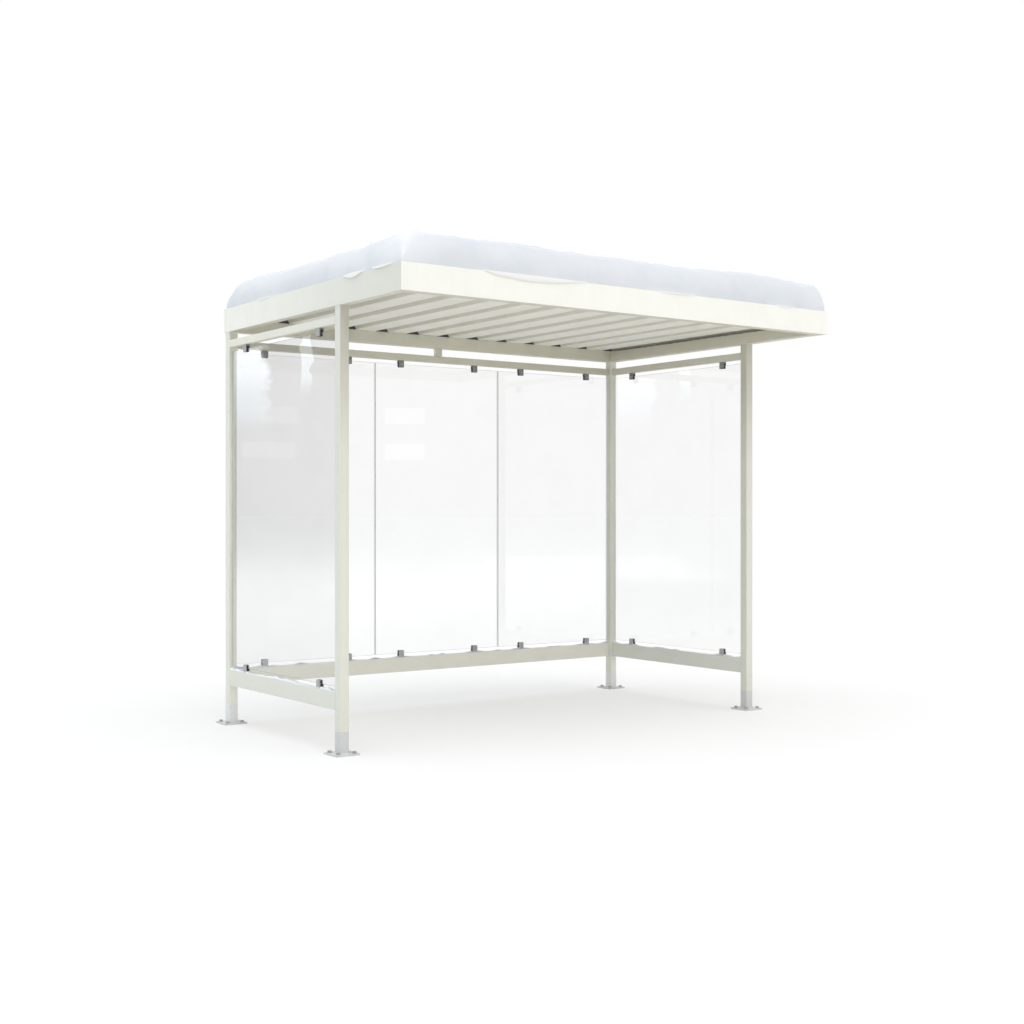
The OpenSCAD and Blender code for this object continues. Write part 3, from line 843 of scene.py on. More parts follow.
# %% Snow finish
def snow_finish(name, shade, pale, painted_top_tone, left_highlight):
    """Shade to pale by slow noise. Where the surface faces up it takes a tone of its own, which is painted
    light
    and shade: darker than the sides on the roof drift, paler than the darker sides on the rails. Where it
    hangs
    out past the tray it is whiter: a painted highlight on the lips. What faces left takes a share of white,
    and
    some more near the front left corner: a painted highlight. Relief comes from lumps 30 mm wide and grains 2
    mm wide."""
    made, tree, shader, where = start_material(name)
    tone = noise(tree, where, 5.0, detail=4.0)
    colour = blend(tree, ramp(tree, tone, 0.3, 0.7), shade, pale)
    up = facing(tree, "Z")
    # Painted light and shade: faces that look up take their own tone.
    colour = blend(tree, ramp(tree, up, 0.15, 0.85), colour, painted_top_tone)
    # Painted highlight: faces to the left and the front left corner are whiter.
    windward = ramp(tree, facing(tree, "X"), -0.55, -0.05, left_highlight, 0.0)
    powder_and_highlight = maths(tree, "MULTIPLY", windward, ramp(tree, up, -0.05, 0.4, 0.35, 1.0))
    at_corner = ramp(tree, plan_distance(tree, where, front_left_corner), 0.04, 0.34, 0.14, 0.0)
    powder_and_highlight = maths(tree, "ADD", powder_and_highlight, at_corner)
    colour = blend(tree, powder_and_highlight, colour, (1, 1, 1, 1))
    # Painted highlight: the lips that hang out past the tray are whiter.
    aside = vectors(tree, "ABSOLUTE", vectors(tree, "ADD", where, (*-tray_middle, 0.0)))
    past = [
        ramp(tree, part_of(tree, aside, axis), half - 2 * MM, half + 1 * MM, 0, most)
        for axis, half, most in (("X", tray_half[0], 1), ("Y", tray_half[1], 0.85))
    ]
    low = ramp(tree, part_of(tree, where, "Z"), fascia_top, fascia_top + 6 * MM, 1.0, 0.0)
    lip_highlight = maths(tree, "MULTIPLY", maths(tree, "MAXIMUM", *past), low)
    colour = blend(tree, lip_highlight, colour, linear(246, 246, 246))
    skin = use(tree, "coat_skin", {"Vector": where, "Scale": 520.0})
    fill(tree, shader, {"Base Color": colour, "Roughness": ramp(tree, skin["Mottle"], 0.2, 0.8, 0.72, 0.92)})
    fill(tree, shader, {"Subsurface Weight": 0.25, "Subsurface Radius": (0.8, 0.9, 1.0)})
    fill(tree, shader, {"Subsurface Scale": 0.012, "Specular IOR Level": 0.25})
    lumps = noise(tree, where, 34.0, detail=3.0, rough=0.55)
    both = maths(tree, "ADD", lumps, maths(tree, "MULTIPLY", skin["Height"], 0.25))
    relief(tree, shader, both, 1.6 * MM, 0.6)
    return made


tray_low, tray_high = corners("fascia_front")[0], corners("fascia_back")[1]
tray_middle = (tray_low[:2] + tray_high[:2]) / 2
tray_half = (tray_high[:2] - tray_low[:2]) / 2
# The third tone of each set is for faces that look up: on the drift it is darker, painted shade. The rail
# snow is darker and greyer all over, painted shade, with paler tops.
settled_tones = linear(211, 216, 222), linear(218, 222, 228), linear(207, 211, 217)
rail_shade_tones = linear(176, 183, 196), linear(196, 202, 214), linear(219, 225, 235)
snow = snow_finish("settled_snow", *settled_tones, left_highlight=0.13)
thin_snow = snow_finish("thin_snow", *rail_shade_tones, left_highlight=0.6)
print("snow finishes:", snow.name, thin_snow.name)

# %% [markdown]
# ## Painting the CAD parts
#
# Each part of the CAD model has one material slot, named after its job. The steel keeps its exact mesh and
# only changes its finish. The posts and the lower rails get the versions of the coat with soil and snow on
# them.

# %% Assign finishes
FINISHES = {
    "base_plate": zinc,
    "post": paint_post,
    "post_back": paint_back_post,
    "lower_rail": paint_rail,
    "upper_rail": paint_under_roof,
    "upper_rail_right": paint_less_shaded,
    "rail_hanger": paint_under_roof,
    "roof_beam": paint_under_roof,
    "fascia": paint,
    "roof_sheet": sheet_coat,
    "glass": glass,
    "clamps": cast_metal,
    "clamp_pads": rubber,
    "roof_snow": snow,
    "rail_snow": thin_snow,
}
for name, part in nodes.items():
    start = max((key for key in FINISHES if name.startswith(key)), key=len)
    for material_slot in part.material_slots:
        material_slot.material = FINISHES[start]
print("finished", len(nodes), "CAD parts")

# %% [markdown]
# ## From numbers to a mesh
#
# Every new piece below is worked out as one array of points: rings of points, one ring after another, with
# copies of the piece stacked in front. Two helpers turn such an array into a mesh. The faces follow from the
# array's shape alone, with no loop from face to face. A ring that shrinks to a point or a line closes its end
# of the piece, and merging equal points afterwards seals it.


# %% Skin and piece
def skin_faces(shape):
    """Quads for an array of (copies, rings, points round a ring): each joins point j and j + 1 of ring i to
    the same two of ring i + 1, and the last point of a ring joins the first."""
    copies, rings, around = shape
    i, j = np.meshgrid(np.arange(rings - 1), np.arange(around), indexing="ij")
    quad = np.stack([i * around + j, i * around + (j + 1) % around], -1)
    quad = np.concatenate([quad, quad[..., ::-1] + around], -1).reshape(-1, 4)
    return (quad[None] + (np.arange(copies) * rings * around)[:, None, None]).reshape(-1, 4)


def piece(name, grids, material, sharp=40.0):
    """Makes one object from arrays of (copies, rings, points round, xyz), merges closed ends, turns the faces
    outwards and shades them smooth except across edges of more than sharp degrees."""
    points, faces, count = [], [], 0
    for grid in grids:
        grid = grid.reshape(-1, *grid.shape[-3:])
        points.append(grid.reshape(-1, 3))
        faces.append(skin_faces(grid.shape[:3]) + count)
        count += points[-1].shape[0]
    mesh = bpy.data.meshes.new(name)
    mesh.from_pydata(np.concatenate(points).tolist(), [], np.concatenate(faces).tolist())
    work = bmesh.new()
    work.from_mesh(mesh)
    bmesh.ops.remove_doubles(work, verts=work.verts, dist=2e-6)
    bmesh.ops.recalc_face_normals(work, faces=work.faces)
    work.to_mesh(mesh)
    work.free()
    mesh.materials.append(material)
    mesh.shade_smooth()
    mesh.set_sharp_from_angle(angle=math.radians(sharp))
    made = bpy.data.objects.new(name, mesh)
    scene.collection.objects.link(made)
    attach(made, "root")
    triangles = sum(len(p.vertices) - 2 for p in mesh.polygons)
    print("%-26s %6d triangles" % (name, triangles))
    return made


# %% Rounded outlines
def rounded_outline(half_x, half_y, radius, spacing, arc_steps=8):
    """Points round a rectangle with round corners, and the direction outwards at each. A corner is its centre
    plus radius times (cos a, sin a); straight sides are filled by going evenly from one corner to the
    next."""
    turn = np.linspace(0, np.pi / 2, arc_steps)[None] + np.arange(4)[:, None] * np.pi / 2
    way = np.stack([np.cos(turn), np.sin(turn)], -1).reshape(-1, 2)
    quarters = np.repeat([[1, 1], [-1, 1], [-1, -1], [1, -1]], arc_steps, 0)
    centre = quarters * [half_x - radius, half_y - radius]
    steps = np.maximum(1, np.round(2 * (np.array([half_x, half_y] * 2) - radius) / spacing)).astype(int)
    stretches = [
        np.r_[side * arc_steps + np.arange(arc_steps - 1), (side + 1) * arc_steps - 1 + np.arange(n) / n]
        for side, n in enumerate(steps)
    ]
    at = np.concatenate(stretches)
    knots = np.arange(4 * arc_steps + 1)
    corner_points = np.hstack([centre + radius * way, way])
    closed = np.vstack([corner_points, corner_points[:1]])
    walk = np.stack([np.interp(at, knots, column) for column in closed.T], -1)
    return walk[:, :2], walk[:, 2:]


print("outline test: %d points" % len(rounded_outline(1.0, 0.5, 0.1, 0.05)[0]))

# %% [markdown]
# ## Panes with ground edges
#
# A toughened pane is never left with raw edges: its corners are nipped round and both long edges are ground
# to a narrow flat of about a millimetre, the arris. A plain block has neither. Here the pane is a stack of
# rings: the rounded outline shrunk by the arris at each face, full size between, and closed by a ring that
# shrinks to the pane's middle line. In the back wall the edge that faces right is seen through its own glass
# and gets a much paler copy of the edge finish: painted light. The left pane's edge is painted almost black
# where it faces down: painted shade.


# %% Pane surface
def pane_grid(low, high, corner=4 * MM, arris=1 * MM):
    """Rings of (inset, depth): inner line, arris, full size, full size, arris, inner line, from one face to
    the other. The pane's thin direction is the one in which its box is smallest."""
    size, middle = high - low, (high + low) / 2
    thin = int(np.argmin(size))
    wide = 1 - thin
    half = np.array([size[wide], size[2]]) / 2
    outline, way = rounded_outline(half[0], half[1], corner, spacing=0.2, arc_steps=7)
    depth = np.array([-1, -1, -1, 1, 1, 1]) * size[thin] / 2 + np.array([0, 0, arris, -arris, 0, 0])
    inset = np.array([0, arris, 0, 0, arris, 0])
    flat = outline[None] - way[None] * inset[:, None, None]
    shrink = (half - min(half)) / half
    flat[[0, -1]] = outline * shrink
    grid = np.zeros((len(depth), len(outline), 3))
    grid[..., wide] = flat[..., 0]
    grid[..., 2] = flat[..., 1]
    grid[..., thin] = depth[:, None]
    return grid + middle


# %% Panes
for name in sorted(n for n in nodes if n.startswith("glass_")):
    pane = piece("pane_" + name[6:], [pane_grid(*corners(name))], glass, sharp=20)
    edges = (matt_edge, bright_edge) if "back" in name else (shaded_bottom_edge if "left" in name else pale_edge,)
    for edge in edges:
        pane.data.materials.append(edge)
    normals = np.empty(len(pane.data.polygons) * 3)
    pane.data.polygons.foreach_get("normal", normals)
    normals = normals.reshape(-1, 3)
    thin = int(np.argmin(np.subtract(*corners(name)[::-1])))
    on_edge = np.abs(normals[:, thin]) < 0.95
    index = np.minimum(on_edge * (1 + (normals[:, 0] > 0.3)), len(edges))
    pane.data.polygons.foreach_set("material_index", index.astype(np.int32))
    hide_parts(name)

# %% [markdown]
# ## The drift on the roof
#
# Wind and settling give roof snow a broad, soft swell, a steep rounded rim, and small lips where it has crept
# over the edge of the tray. Sculpting that by hand would be slow to change, and a displaced block would tear
# at its corners. So the drift is one closed surface made of rings that start at the middle of its underside,
# run out to the rim, over a lip if there is one, up the side and back to the middle of the top.


# %% Gentle noise for shapes
def swell(points, wavelength, seed, waves=28):
    """A sum of sine waves with seeded random directions and phases, each sin(k . p + phase) with a length
    near wavelength, scaled to a typical height of 1."""
    draw = np.random.default_rng(seed)
    way = draw.normal(size=(3, waves))
    way *= 2 * np.pi / (wavelength * draw.uniform(0.7, 1.6, waves) * np.linalg.norm(way, axis=0))
    phase = draw.uniform(0, 2 * np.pi, waves)
    return np.sin(points @ way + phase).sum(-1) * math.sqrt(2 / waves)


def soft_line(at, places, heights, width):
    """A smooth curve through measured heights: their mean, weighted by exp(-(distance / width) ** 2)."""
    weight = np.exp(-(((at[..., None] - places) / width) ** 2))
    return (weight * heights).sum(-1) / weight.sum(-1)


# %% Height of the drift
snow_floor = corners("roof_snow")[0][2]
front_crest = np.array(  # X in metres, height in mm
    [[-1.32, 151], [-1.06, 157], [-0.90, 158], [-0.68, 164], [-0.42, 150], [-0.22, 147], [-0.08, 159]]
    + [[0.08, 153], [0.36, 152], [0.56, 161], [0.77, 176], [0.96, 171], [1.21, 158], [1.34, 148]]
)
left_crest = np.array(  # Y in metres, height in mm
    [[-0.94, 150], [-0.66, 152], [-0.44, 146], [-0.21, 138], [0.10, 146], [0.34, 152], [0.74, 152]]
)
CREST_FADE = 0.30
MIDDLE_WEIGHT = 0.35


def drift_height(x, y):
    """Height of the snow above the tray's rim: near the front and left edges it follows their crest lines,
    and further in it is a broad swell. The three are mixed by weights that fall off with distance from the
    edge."""
    spot = np.stack([x, y, np.zeros_like(x)], -1)
    front = soft_line(x, front_crest[:, 0], front_crest[:, 1] * MM, 0.12)
    left = soft_line(y, left_crest[:, 0], left_crest[:, 1] * MM, 0.16)
    near_front = np.exp(-(y - tray_low[1]) / CREST_FADE)
    near_left = np.exp(-(x + tray_half[0]) / CREST_FADE)
    middle = (146 + 9 * swell(spot, 0.9, 3) + 3.5 * swell(spot, 0.33, 4)) * MM
    total = front * near_front + left * near_left + middle * MIDDLE_WEIGHT
    return total / (near_front + near_left + MIDDLE_WEIGHT)


print("drift is %.0f mm high in the middle" % (drift_height(np.zeros(1), np.zeros(1))[0] / MM))

# %% [markdown]
# The lips are listed by side: where each has its middle and how long it is in metres, then how far it hangs
# down the outer face and how far it bulges out, in millimetres. A squared cosine makes each one start and end
# without a step.

# %% Lips over the rim
LIPS = (
    ("front", -0.66, 0.62, 25, 4),
    ("front", -0.45, 0.40, 8, 1),
    ("front", -0.84, 0.18, 6, 1),
    ("front", 0.26, 0.40, 5, 2),
    ("front", 1.02, 0.22, 4, 2),
    ("left", -0.511, 0.24, 18, 11),
    ("left", -0.77, 0.25, 8, 6),
    ("left", 0.42, 0.30, 4, 3),
    ("right", -0.35, 0.34, 12, 5),
    ("right", 0.48, 0.26, 7, 4),
    ("back", -0.60, 0.36, 14, 6),
    ("back", 0.12, 0.24, 6, 3),
    ("back", 0.85, 0.30, 10, 5),
)
OUTWARDS = {"front": (0, -1), "back": (0, 1), "left": (-1, 0), "right": (1, 0)}


def lip_shape(outline, way):
    """How far the snow hangs and bulges at each point of the rim: depth, or bulge, * cos(pi * distance /
    length) ** 2 within half a length of a lip's middle, on the side whose outward direction matches."""
    drop, out = np.zeros((2, len(outline)))
    for side, middle, length, depth, bulge in LIPS:
        outwards = np.array(OUTWARDS[side])
        along = outline[:, 0] if outwards[0] == 0 else outline[:, 1]
        reach = np.clip(np.abs(along - middle) / length, 0, 0.5)
        share = MM * np.cos(np.pi * reach) ** 2 * (way @ outwards > 0.99)
        drop += depth * share
        out += bulge * share
    return drop, out


# %% Surface of the drift
RIM_ROUNDING = ((120, 85), (48, 125))  # mm: left and front, then right and back
SHOULDER = 2.4


def drift_grid(spacing=14 * MM, rim_round=125 * MM, rim_inset=6.5 * MM):
    """Rings by how far they are inset from the tray's outer face, inset + rim_round (1 - cos a). Each side
    rises by height * (1 - (1 - share) ** SHOULDER) ** (1 / SHOULDER), where share runs from 0 to 1 over that
    side's own rounding: steep on the right, where the wind cut it, and softer on the left. Where two sides
    meet their heights are multiplied, which rounds the corner. A lip pulls the lowest rings outwards, less
    and less with a, and hangs down by its drop. Dents of two sizes and slanting folds 120 mm apart are added
    along the outward direction."""
    outline, way = rounded_outline(tray_half[0], tray_half[1], 14 * MM, spacing)
    drop, bulge = lip_shape(outline + tray_middle, way)
    full = np.clip(drop / (3 * MM), 0, 1)
    out = full * 2 * MM + bulge
    hug = rim_inset * (1 - full) - 0.6 * MM * full
    under = (
        (min(tray_half), snow_floor),
        (rim_inset + 1 * MM, snow_floor),
        (rim_inset, fascia_top),
        (hug, fascia_top + 0.4 * MM * full),
        (hug, fascia_top - 0.8 * drop),
        (hug - 0.5 * out, fascia_top - drop),
        (hug - 0.95 * out, fascia_top - 0.6 * drop),
    )
    angle = np.linspace(0, np.pi / 2, 18)
    inner = np.linspace(rim_inset + rim_round, min(tray_half), 46)[1:]
    tilt = np.r_[angle, np.full(len(inner), np.pi / 2)]
    plain_inset = np.r_[rim_inset + rim_round * (1 - np.cos(angle)), inner][:, None]
    pull = (out + rim_inset * full) * np.exp(-((tilt / 0.42) ** 2))[:, None]

    def spread(inset):
        return outline * (tray_half - inset[..., None]) / tray_half

    spot = spread(plain_inset)
    rounding = np.where(spot > 0, RIM_ROUNDING[1], RIM_ROUNDING[0]) * MM
    share = np.clip((tray_half - np.abs(spot) - rim_inset) / rounding, 0, 1)
    xy = spread(plain_inset - pull)
    x, y = (xy + tray_middle)[..., 0], (xy + tray_middle)[..., 1]
    z = fascia_top + drift_height(x, y) * ((1 - (1 - share) ** SHOULDER) ** (1 / SHOULDER)).prod(-1)
    upper = np.stack([x, y, z], -1)
    dents = 2.0 * swell(upper * [1, 1, 0.5], 0.19, 5) + 1.0 * swell(upper, 0.07, 6)
    slant = 2 * np.pi * (x + 0.6 * y + 0.9 * z) / 0.12 + 1.6 * swell(upper, 0.5, 7)
    dents += 2.2 * np.sin(slant) * np.clip(0.3 + swell(upper, 0.6, 8), 0, 1)
    dents *= MM * (np.sin(tilt) ** 0.8 * np.where(tilt < 1.57, 1, 0.8))[:, None]
    sideways = way * np.cos(tilt)[:, None, None]
    upwards = np.broadcast_to(np.sin(tilt)[:, None, None], (*z.shape, 1))
    upper = upper + dents[..., None] * np.concatenate([sideways, upwards], -1)
    flat = spread(np.stack([inset + 0 * drop for inset, height in under])) + tray_middle
    lower = np.concatenate([flat, np.stack([height + 0 * drop for inset, height in under])[..., None]], -1)
    return np.concatenate([lower, upper])[None]


drift = piece("roof_snow_drift", [drift_grid()], snow, sharp=75)
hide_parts("roof_snow")

# %% [markdown]
# ## Mounds on the lower rails
#
# On the narrow rails the wind leaves little: mounds that lean against the clamps and posts, and loose patches
# between. Each is a lens that runs along the rail. Where one meets a clamp or a post only half or a slice of
# the lens is used, with a flat end just clear of the metal, so no snow runs through steel.


# %% Where the mounds lie
CLAMP_WIDTH = 34 * MM
CLAMP_DEPTH = 26 * MM
INWARDS = {"back": (0, -1, 0), "left": (1, 0, 0), "right": (-1, 0, 0)}


def rail_places(wall):
    """Start, direction along and direction inwards of a lower rail's top, its length, and its clamps'
    places."""
    low, high = corners("lower_rail_" + wall)
    axis = 0 if wall == "back" else 1
    start = (low + high) / 2
    start[axis], start[2] = low[axis], high[2]
    boxes = [corners(name) for name in nodes if name.startswith("clamps_" + wall)]
    edge = CLAMP_WIDTH / 2
    at = sorted(v - low[axis] for first, last in boxes for v in (first[axis] + edge, last[axis] - edge))
    return start, np.eye(3)[axis], np.array(INWARDS[wall], float), high[axis] - low[axis], np.array(at)


GAP = 0.3 * MM


def mound_table(length, clamps, seed, long_strip):
    """Rows of middle, half length, part of the lens from, part to, half width, height, offset inwards
    (metres)."""
    draw = np.random.default_rng(seed)
    reach = CLAMP_WIDTH / 2 + GAP
    rows = []
    for c in clamps:
        tall = draw.uniform(5.5, 8) * MM
        rows.append((c - reach, draw.uniform(55, 85) * MM, 0.0, 0.5, 14 * MM, tall, 0.0))
        rows.append((c + reach, draw.uniform(55, 85) * MM, 0.5, 1.0, 14 * MM, tall, 0.0))
        for side in (-1, 1):
            rows.append((c, 5 * reach, 0.4, 0.6, 1.9 * MM, tall * 0.75, side * (CLAMP_DEPTH / 2 + 2.2 * MM)))
    rows.append((GAP, draw.uniform(60, 90) * MM, 0.5, 1.0, 13 * MM, 8 * MM, 0.0))
    rows.append((length - GAP, draw.uniform(60, 90) * MM, 0.0, 0.5, 13 * MM, 8 * MM, 0.0))
    stops = np.r_[0.0, clamps, length]
    for a, b in zip(stops[:-1], stops[1:]):
        room = b - a - 260 * MM
        for i in range(int(max(0, room) // (150 * MM)) + 1):
            if room < 60 * MM:
                continue
            half = min(room / 2, draw.uniform(28, 62) * MM)
            middle = a + 130 * MM + half + (room - 2 * half) * draw.uniform(0.1, 0.9)
            wide, tall, aside = (draw.uniform(*span) * MM for span in ((7, 12), (3.5, 7.5), (-2, 3)))
            rows.append((middle, half, 0.0, 1.0, wide, tall, aside))
        if long_strip:
            rows.append(((a + b) / 2, (b - a) / 2 - reach - 1 * MM, 0.0, 1.0, 16.5 * MM, 10 * MM, 0.0))
    return np.array(rows)


# %% Surface of the mounds
def mound_grid(wall, seed, steps=22, arc=13):
    """At part t of the lens the height is sin(pi t) ** 1.3 and the width sin(pi t) ** 0.5; the section is
    half an ellipse whose closing side lies on the rail. A first and last ring shrunk to their middle close
    flat ends."""
    start, along, inwards, length, clamps = rail_places(wall)
    table = mound_table(length, clamps, seed, wall == "left")
    middle, half, begin, end, wide, tall, offset = table.T[:, :, None, None]
    t = begin + (end - begin) * np.linspace(0, 1, steps)[None, :, None]
    lens = np.sin(np.pi * np.clip(t, 0, 1)).clip(0)
    turn = np.linspace(-np.pi / 2, np.pi / 2, arc)
    run = middle + half * (2 * t - 1) + 0 * turn
    lumps = 1 + 0.22 * swell(np.stack([run, offset + 0 * run, middle + 0 * run], -1), 0.05, seed)
    side = offset + wide * lens**0.5 * np.sin(turn)
    rise = tall * lens**1.3 * np.cos(turn) * lumps + 0.15 * MM
    points = start + run[..., None] * along + side[..., None] * inwards + rise[..., None] * [0, 0, 1]
    caps = points.mean(2, keepdims=True) + 0 * points
    return np.concatenate([caps[:, :1], points, caps[:, -1:]], 1)


for seed, wall in enumerate(("back", "left", "right"), start=11):
    mounds = piece("rail_snow_mounds_" + wall, [mound_grid(wall, seed)], thin_snow, sharp=70)
    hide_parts("rail_snow_" + wall)

# %% [markdown]
# ## Anchor bolts
#
# Four bolts hold each foot plate down. A hexagon head is a six-sided prism whose upper corners are turned off
# by a cone, which leaves the curved edges that one sees on every bolt. Both are one formula here: the radius
# at each angle is the smaller of the hexagon's and a circle's. The washer and the shank below are circles of
# the same rings. Each bolt stopped at its own angle when it was tightened, so each is spun by a seeded random
# turn.


# %% Bolt rings
def hexagon(angle, flats):
    """Radius of a hexagon with that distance across its flats: flats / 2 / cos of the angle from the nearest
    flat's middle, which repeats every 60 degrees."""
    return flats / 2 / np.cos((angle + np.pi / 6) % (np.pi / 3) - np.pi / 6)


def turned_grid(rings, flats, around):
    """Rings of (height, circle radius, is it hexagonal). A hexagonal ring is cut back to its circle, so a
    circle that shrinks upwards chamfers the corners."""
    angle = np.linspace(0, 2 * np.pi, around, endpoint=False)
    height, circle, six = (np.array(column, float)[:, None] for column in zip(*rings))
    radius = np.where(six > 0, np.minimum(hexagon(angle, flats), circle), circle + 0 * angle)
    return np.stack([radius * np.cos(angle), radius * np.sin(angle), height + 0 * radius], -1)


BOLT_RINGS = (  # height and radius in mm, and whether it is hexagonal
    (0.5, 0, 0), (0.5, 4.6, 0), (1.0, 5.0, 0), (8.1, 5.0, 0), (8.1, 11.7, 0), (8.4, 12.0, 0),
    (10.2, 12.0, 0), (10.5, 11.7, 0), (10.5, 8.6, 0), (11.0, 8.6, 0), (11.0, 8.7, 1), (11.5, 10.2, 1),
    (17.2, 10.2, 1), (17.6, 9.7, 1), (18.1, 8.7, 1), (18.1, 7.6, 0), (17.8, 7.2, 0), (17.8, 0, 0),
)  # fmt: skip
BOLT_FLATS = 17.0
bolt = turned_grid(BOLT_RINGS, BOLT_FLATS, around=72) * MM
HOLE_SPACING = 85 * MM
holes = np.array([[-1, -1, 0], [1, -1, 0], [1, 1, 0], [-1, 1, 0]]) * HOLE_SPACING / 2
for place in POST_PLACES:
    low, high = corners("base_plate_" + place)
    centre = (low + high) / 2 * [1, 1, 0]
    turn = np.random.default_rng(len(place)).uniform(0, np.pi / 3, 4)
    spin = np.stack([np.cos(turn), -np.sin(turn), 0 * turn, np.sin(turn), np.cos(turn), 0 * turn], -1)
    spin = np.concatenate([spin, np.tile([0, 0, 1.0], (4, 1))], -1).reshape(4, 1, 1, 3, 3)
    bolts = (spin @ bolt[None, ..., None])[..., 0] + (centre + holes)[:, None, None]
    piece("anchor_bolts_" + place, [bolts], bolt_zinc, sharp=28)

# %% [markdown]
# ## Clamp screws
#
# Each clamp is tightened on the glass by one button-head screw, on the side that faces the shelter's inside,
# where it can't be undone from the street. Its hexagon socket is the same ring formula with the hexagon going
# inwards.

# %% Screws
SCREW_RINGS = (  # height and radius in mm, and whether it is hexagonal
    (-0.3, 0, 0), (-0.3, 4.4, 0), (0.0, 4.75, 0), (0.7, 4.7, 0), (1.5, 4.3, 0), (2.2, 3.5, 0), (2.6, 2.6, 0),
    (2.6, 2.2, 1), (1.2, 2.1, 1), (0.9, 0, 0),
)  # fmt: skip
SOCKET_FLATS = 3.0
screw = turned_grid(SCREW_RINGS, SOCKET_FLATS, around=36) * MM
SCREW_AXES = {  # where the screw's own x, y and height point
    "back": ((1, 0, 0), (0, 0, 1), (0, -1, 0)),
    "left": ((0, 1, 0), (0, 0, 1), (1, 0, 0)),
    "right": ((0, -1, 0), (0, 0, 1), (-1, 0, 0)),
}
clamp_low, clamp_high = corners("clamps_left")
SCREW_RISE = 24 * MM
level = np.array([clamp_low[2] + SCREW_RISE, clamp_high[2] - SCREW_RISE])
for wall, axes in SCREW_AXES.items():
    start, along, inwards, _, at = rail_places(wall)
    row = start * [1, 1, 0] + at[:, None] * along + inwards * CLAMP_DEPTH / 2
    spots = row[None] + level[:, None, None] * [0, 0, 1]
    heads = spots.reshape(-1, 1, 1, 3) + screw @ np.array(axes, float)
    piece("clamp_screws_" + wall, [heads], bolt_zinc, sharp=28)

# %% [markdown]
# ## Weld beads
#
# The frame is welded before it is coated. A fillet weld is a small triangular bead in the corner between two
# parts, slightly bulged, with the ripples that the moving arc leaves, and it fades out at both ends. All
# beads are one array: each has a start and an end point in the corner and two directions, in which its legs
# lie on the two parts.

# %% Corners that are welded
POST_FLAT = 21 * MM
TUBE_ROUND = 4 * MM
UP = np.array([0, 0, 1.0])
beads = []
for place in POST_PLACES:
    low, high = corners("post_" + place)
    mid = (low + high) / 2
    for axis, sign in ((0, -1), (0, 1), (1, -1), (1, 1)):
        out, run = np.zeros(3), np.zeros(3)
        out[axis], run[1 - axis] = sign, POST_FLAT
        foot = mid * [1, 1, 0] + out * (high - low)[axis] / 2 + [0, 0, low[2]]
        beads.append((foot - run, foot + run, out, UP))
for name in (n for n in nodes if "_rail_" in n and not n.startswith("rail_snow")):
    low, high = corners(name)
    axis = np.eye(3)[int(np.argmax(high - low))]
    inner = np.array(INWARDS[name.split("_")[-1]], float)
    half, mid = (high - low) / 2, (low + high) / 2
    for end in (-1, 1):
        for out in (inner, UP, -UP):
            run = np.abs(np.cross(axis, out)) * (half - TUBE_ROUND)
            spot = mid + (end * axis + out) * half
            beads.append((spot - run, spot + run, -end * axis, out))
low, high = corners("rail_hanger")
for side in (-1, 1):
    for height, up in ((low[2], 1.0), (high[2], -1.0)):
        spot = np.array([side * high[0], (low[1] + high[1]) / 2, height])
        run = np.array([0, (high[1] - low[1]) / 2 - TUBE_ROUND, 0])
        beads.append((spot - run, spot + run, np.array([side, 0, 0.0]), UP * up))
print("weld beads:", len(beads))


# %% Surface of the beads
def bead_grid(rows, leg=4 * MM, steps=56, arc=8, ripple=4.5 * MM):
    """Section in the two leg directions: a corner point just inside the steel, then an arc whose radius is
    that of the straight face, leg / (cos a + sin a), plus a bulge of 0.14 leg sin 2a. Along the bead the
    section is scaled by (1 - |2t - 1| ** 8) ** 0.5 and by ripples of 1 + 0.09 cos."""
    start, end, leg_a, leg_b = (np.array(column)[:, None, None] for column in zip(*rows))
    t = np.linspace(0, 1, steps)[None, :, None, None]
    a = np.linspace(0, np.pi / 2, arc)
    radius = 1 / (np.cos(a) + np.sin(a)) + 0.14 * np.sin(2 * a)
    section = np.vstack([[-0.08, -0.08], np.stack([radius * np.cos(a), radius * np.sin(a)], -1)])
    length = np.linalg.norm(end - start, axis=-1, keepdims=True)
    size = leg * (1 - np.abs(2 * t - 1) ** 8) ** 0.5 * (1 + 0.09 * np.cos(2 * np.pi * t * length / ripple))
    across = section[:, :1] * leg_a + section[:, 1:] * leg_b
    return start + (end - start) * t + across * size


piece("weld_beads", [bead_grid(beads)], paint_post, sharp=50)

# %% [markdown]
# ## Foam fillers and seals under the sheet
#
# Where the ribs of a roof sheet cross a beam they leave holes for wind and wasps. A roofer plugs each with a
# foam filler cut to the rib's shape, and runs a bead of grey sealant along the beams that lie beside the
# ribs. Both are dark here also because they stand for shade: painted shade in the flute ends and in the gap
# beside the end beams. A filler is a prism with the rib's section, a little smaller, with its front and back
# edges eased. The bead has the same section as a weld, so the same formula is used for it.

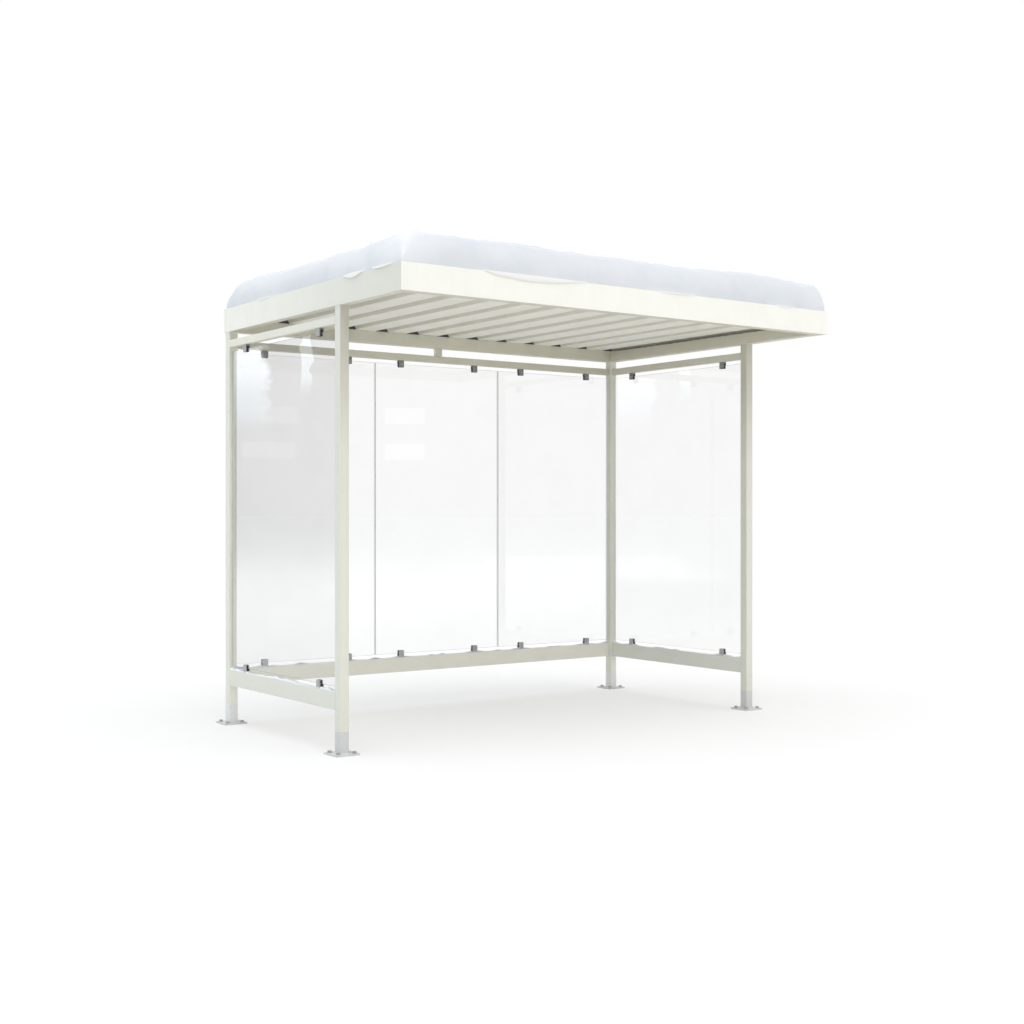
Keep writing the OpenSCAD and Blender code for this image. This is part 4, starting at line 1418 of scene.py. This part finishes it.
# %% Fillers over the back beam
RIB_PITCH, RIB_FOOT, RIB_CREST, RIB_HEIGHT = 210 * MM, 85 * MM, 38 * MM, 35 * MM
sheet_start, sheet_end = corners("roof_sheet_left")[0], corners("roof_sheet_right")[1]
width = sheet_end[0] - sheet_start[0]
rib_count = int((width - RIB_PITCH / 2 - RIB_FOOT / 2) / RIB_PITCH) + 1
rib_x = sheet_start[0] + RIB_PITCH * (np.arange(rib_count) + 0.5)
rib_section = np.array(
    [[-RIB_FOOT / 2, 0], [RIB_FOOT / 2, 0], [RIB_CREST / 2, RIB_HEIGHT], [-RIB_CREST / 2, RIB_HEIGHT]]
)


def filler_grid(beam_low, beam_high, easing=1.5 * MM, gap=0.6 * MM):
    """Rings of (depth along Y, inset of the section) for every rib: a middle point, an eased front edge, the
    full section to the back, an eased back edge and a middle point. Each side of the section has eight
    points."""
    t = np.arange(32) / 8
    closed = np.vstack([rib_section, rib_section[:1]])
    outline = np.stack([np.interp(t, np.arange(5), column) for column in closed.T], -1)
    to_middle = RIB_HEIGHT * 0.42
    centre = np.array([0, to_middle])
    start, end = beam_low + 0.8 * MM, beam_high - 6 * MM
    depth = np.array([start, start, start + easing, end - easing, end, end])
    inset = np.array([to_middle, easing + gap, gap, gap, easing + gap, to_middle])
    flat = centre + (outline - centre) * (1 - inset / to_middle)[:, None, None]
    grid = np.zeros((rib_count, 6, len(outline), 3))
    grid[..., 0] = flat[..., 0] + rib_x[:, None, None]
    grid[..., 1] = depth[:, None]
    grid[..., 2] = flat[..., 1] + sheet_level
    return grid


beam_low, beam_high = corners("roof_beam_back")
# The dark fillers stand for the shade in the flute ends: painted shade.
piece("rib_fillers", [filler_grid(beam_low[1], beam_high[1])], shade_foam, sharp=30)

# %% Sealant along the end beams
seals = []
front_end = corners("roof_beam_front")[1][1]
for name, inwards in (("roof_beam_left", 1.0), ("roof_beam_right", -1.0)):
    low, high = corners(name)
    x = high[0] if inwards > 0 else low[0]
    start, end = (np.array([x, y, sheet_level]) for y in (front_end + GAP, beam_low[1] - GAP))
    seals.append((start, end, np.array([inwards, 0, 0]), -UP))
# The dark bead stands for the shaded gap beside the end beams: painted shade.
seal_grid = bead_grid(seals, leg=8 * MM, steps=240, ripple=60 * MM)
piece("sheet_seals", [seal_grid], shade_sealant, sharp=50)
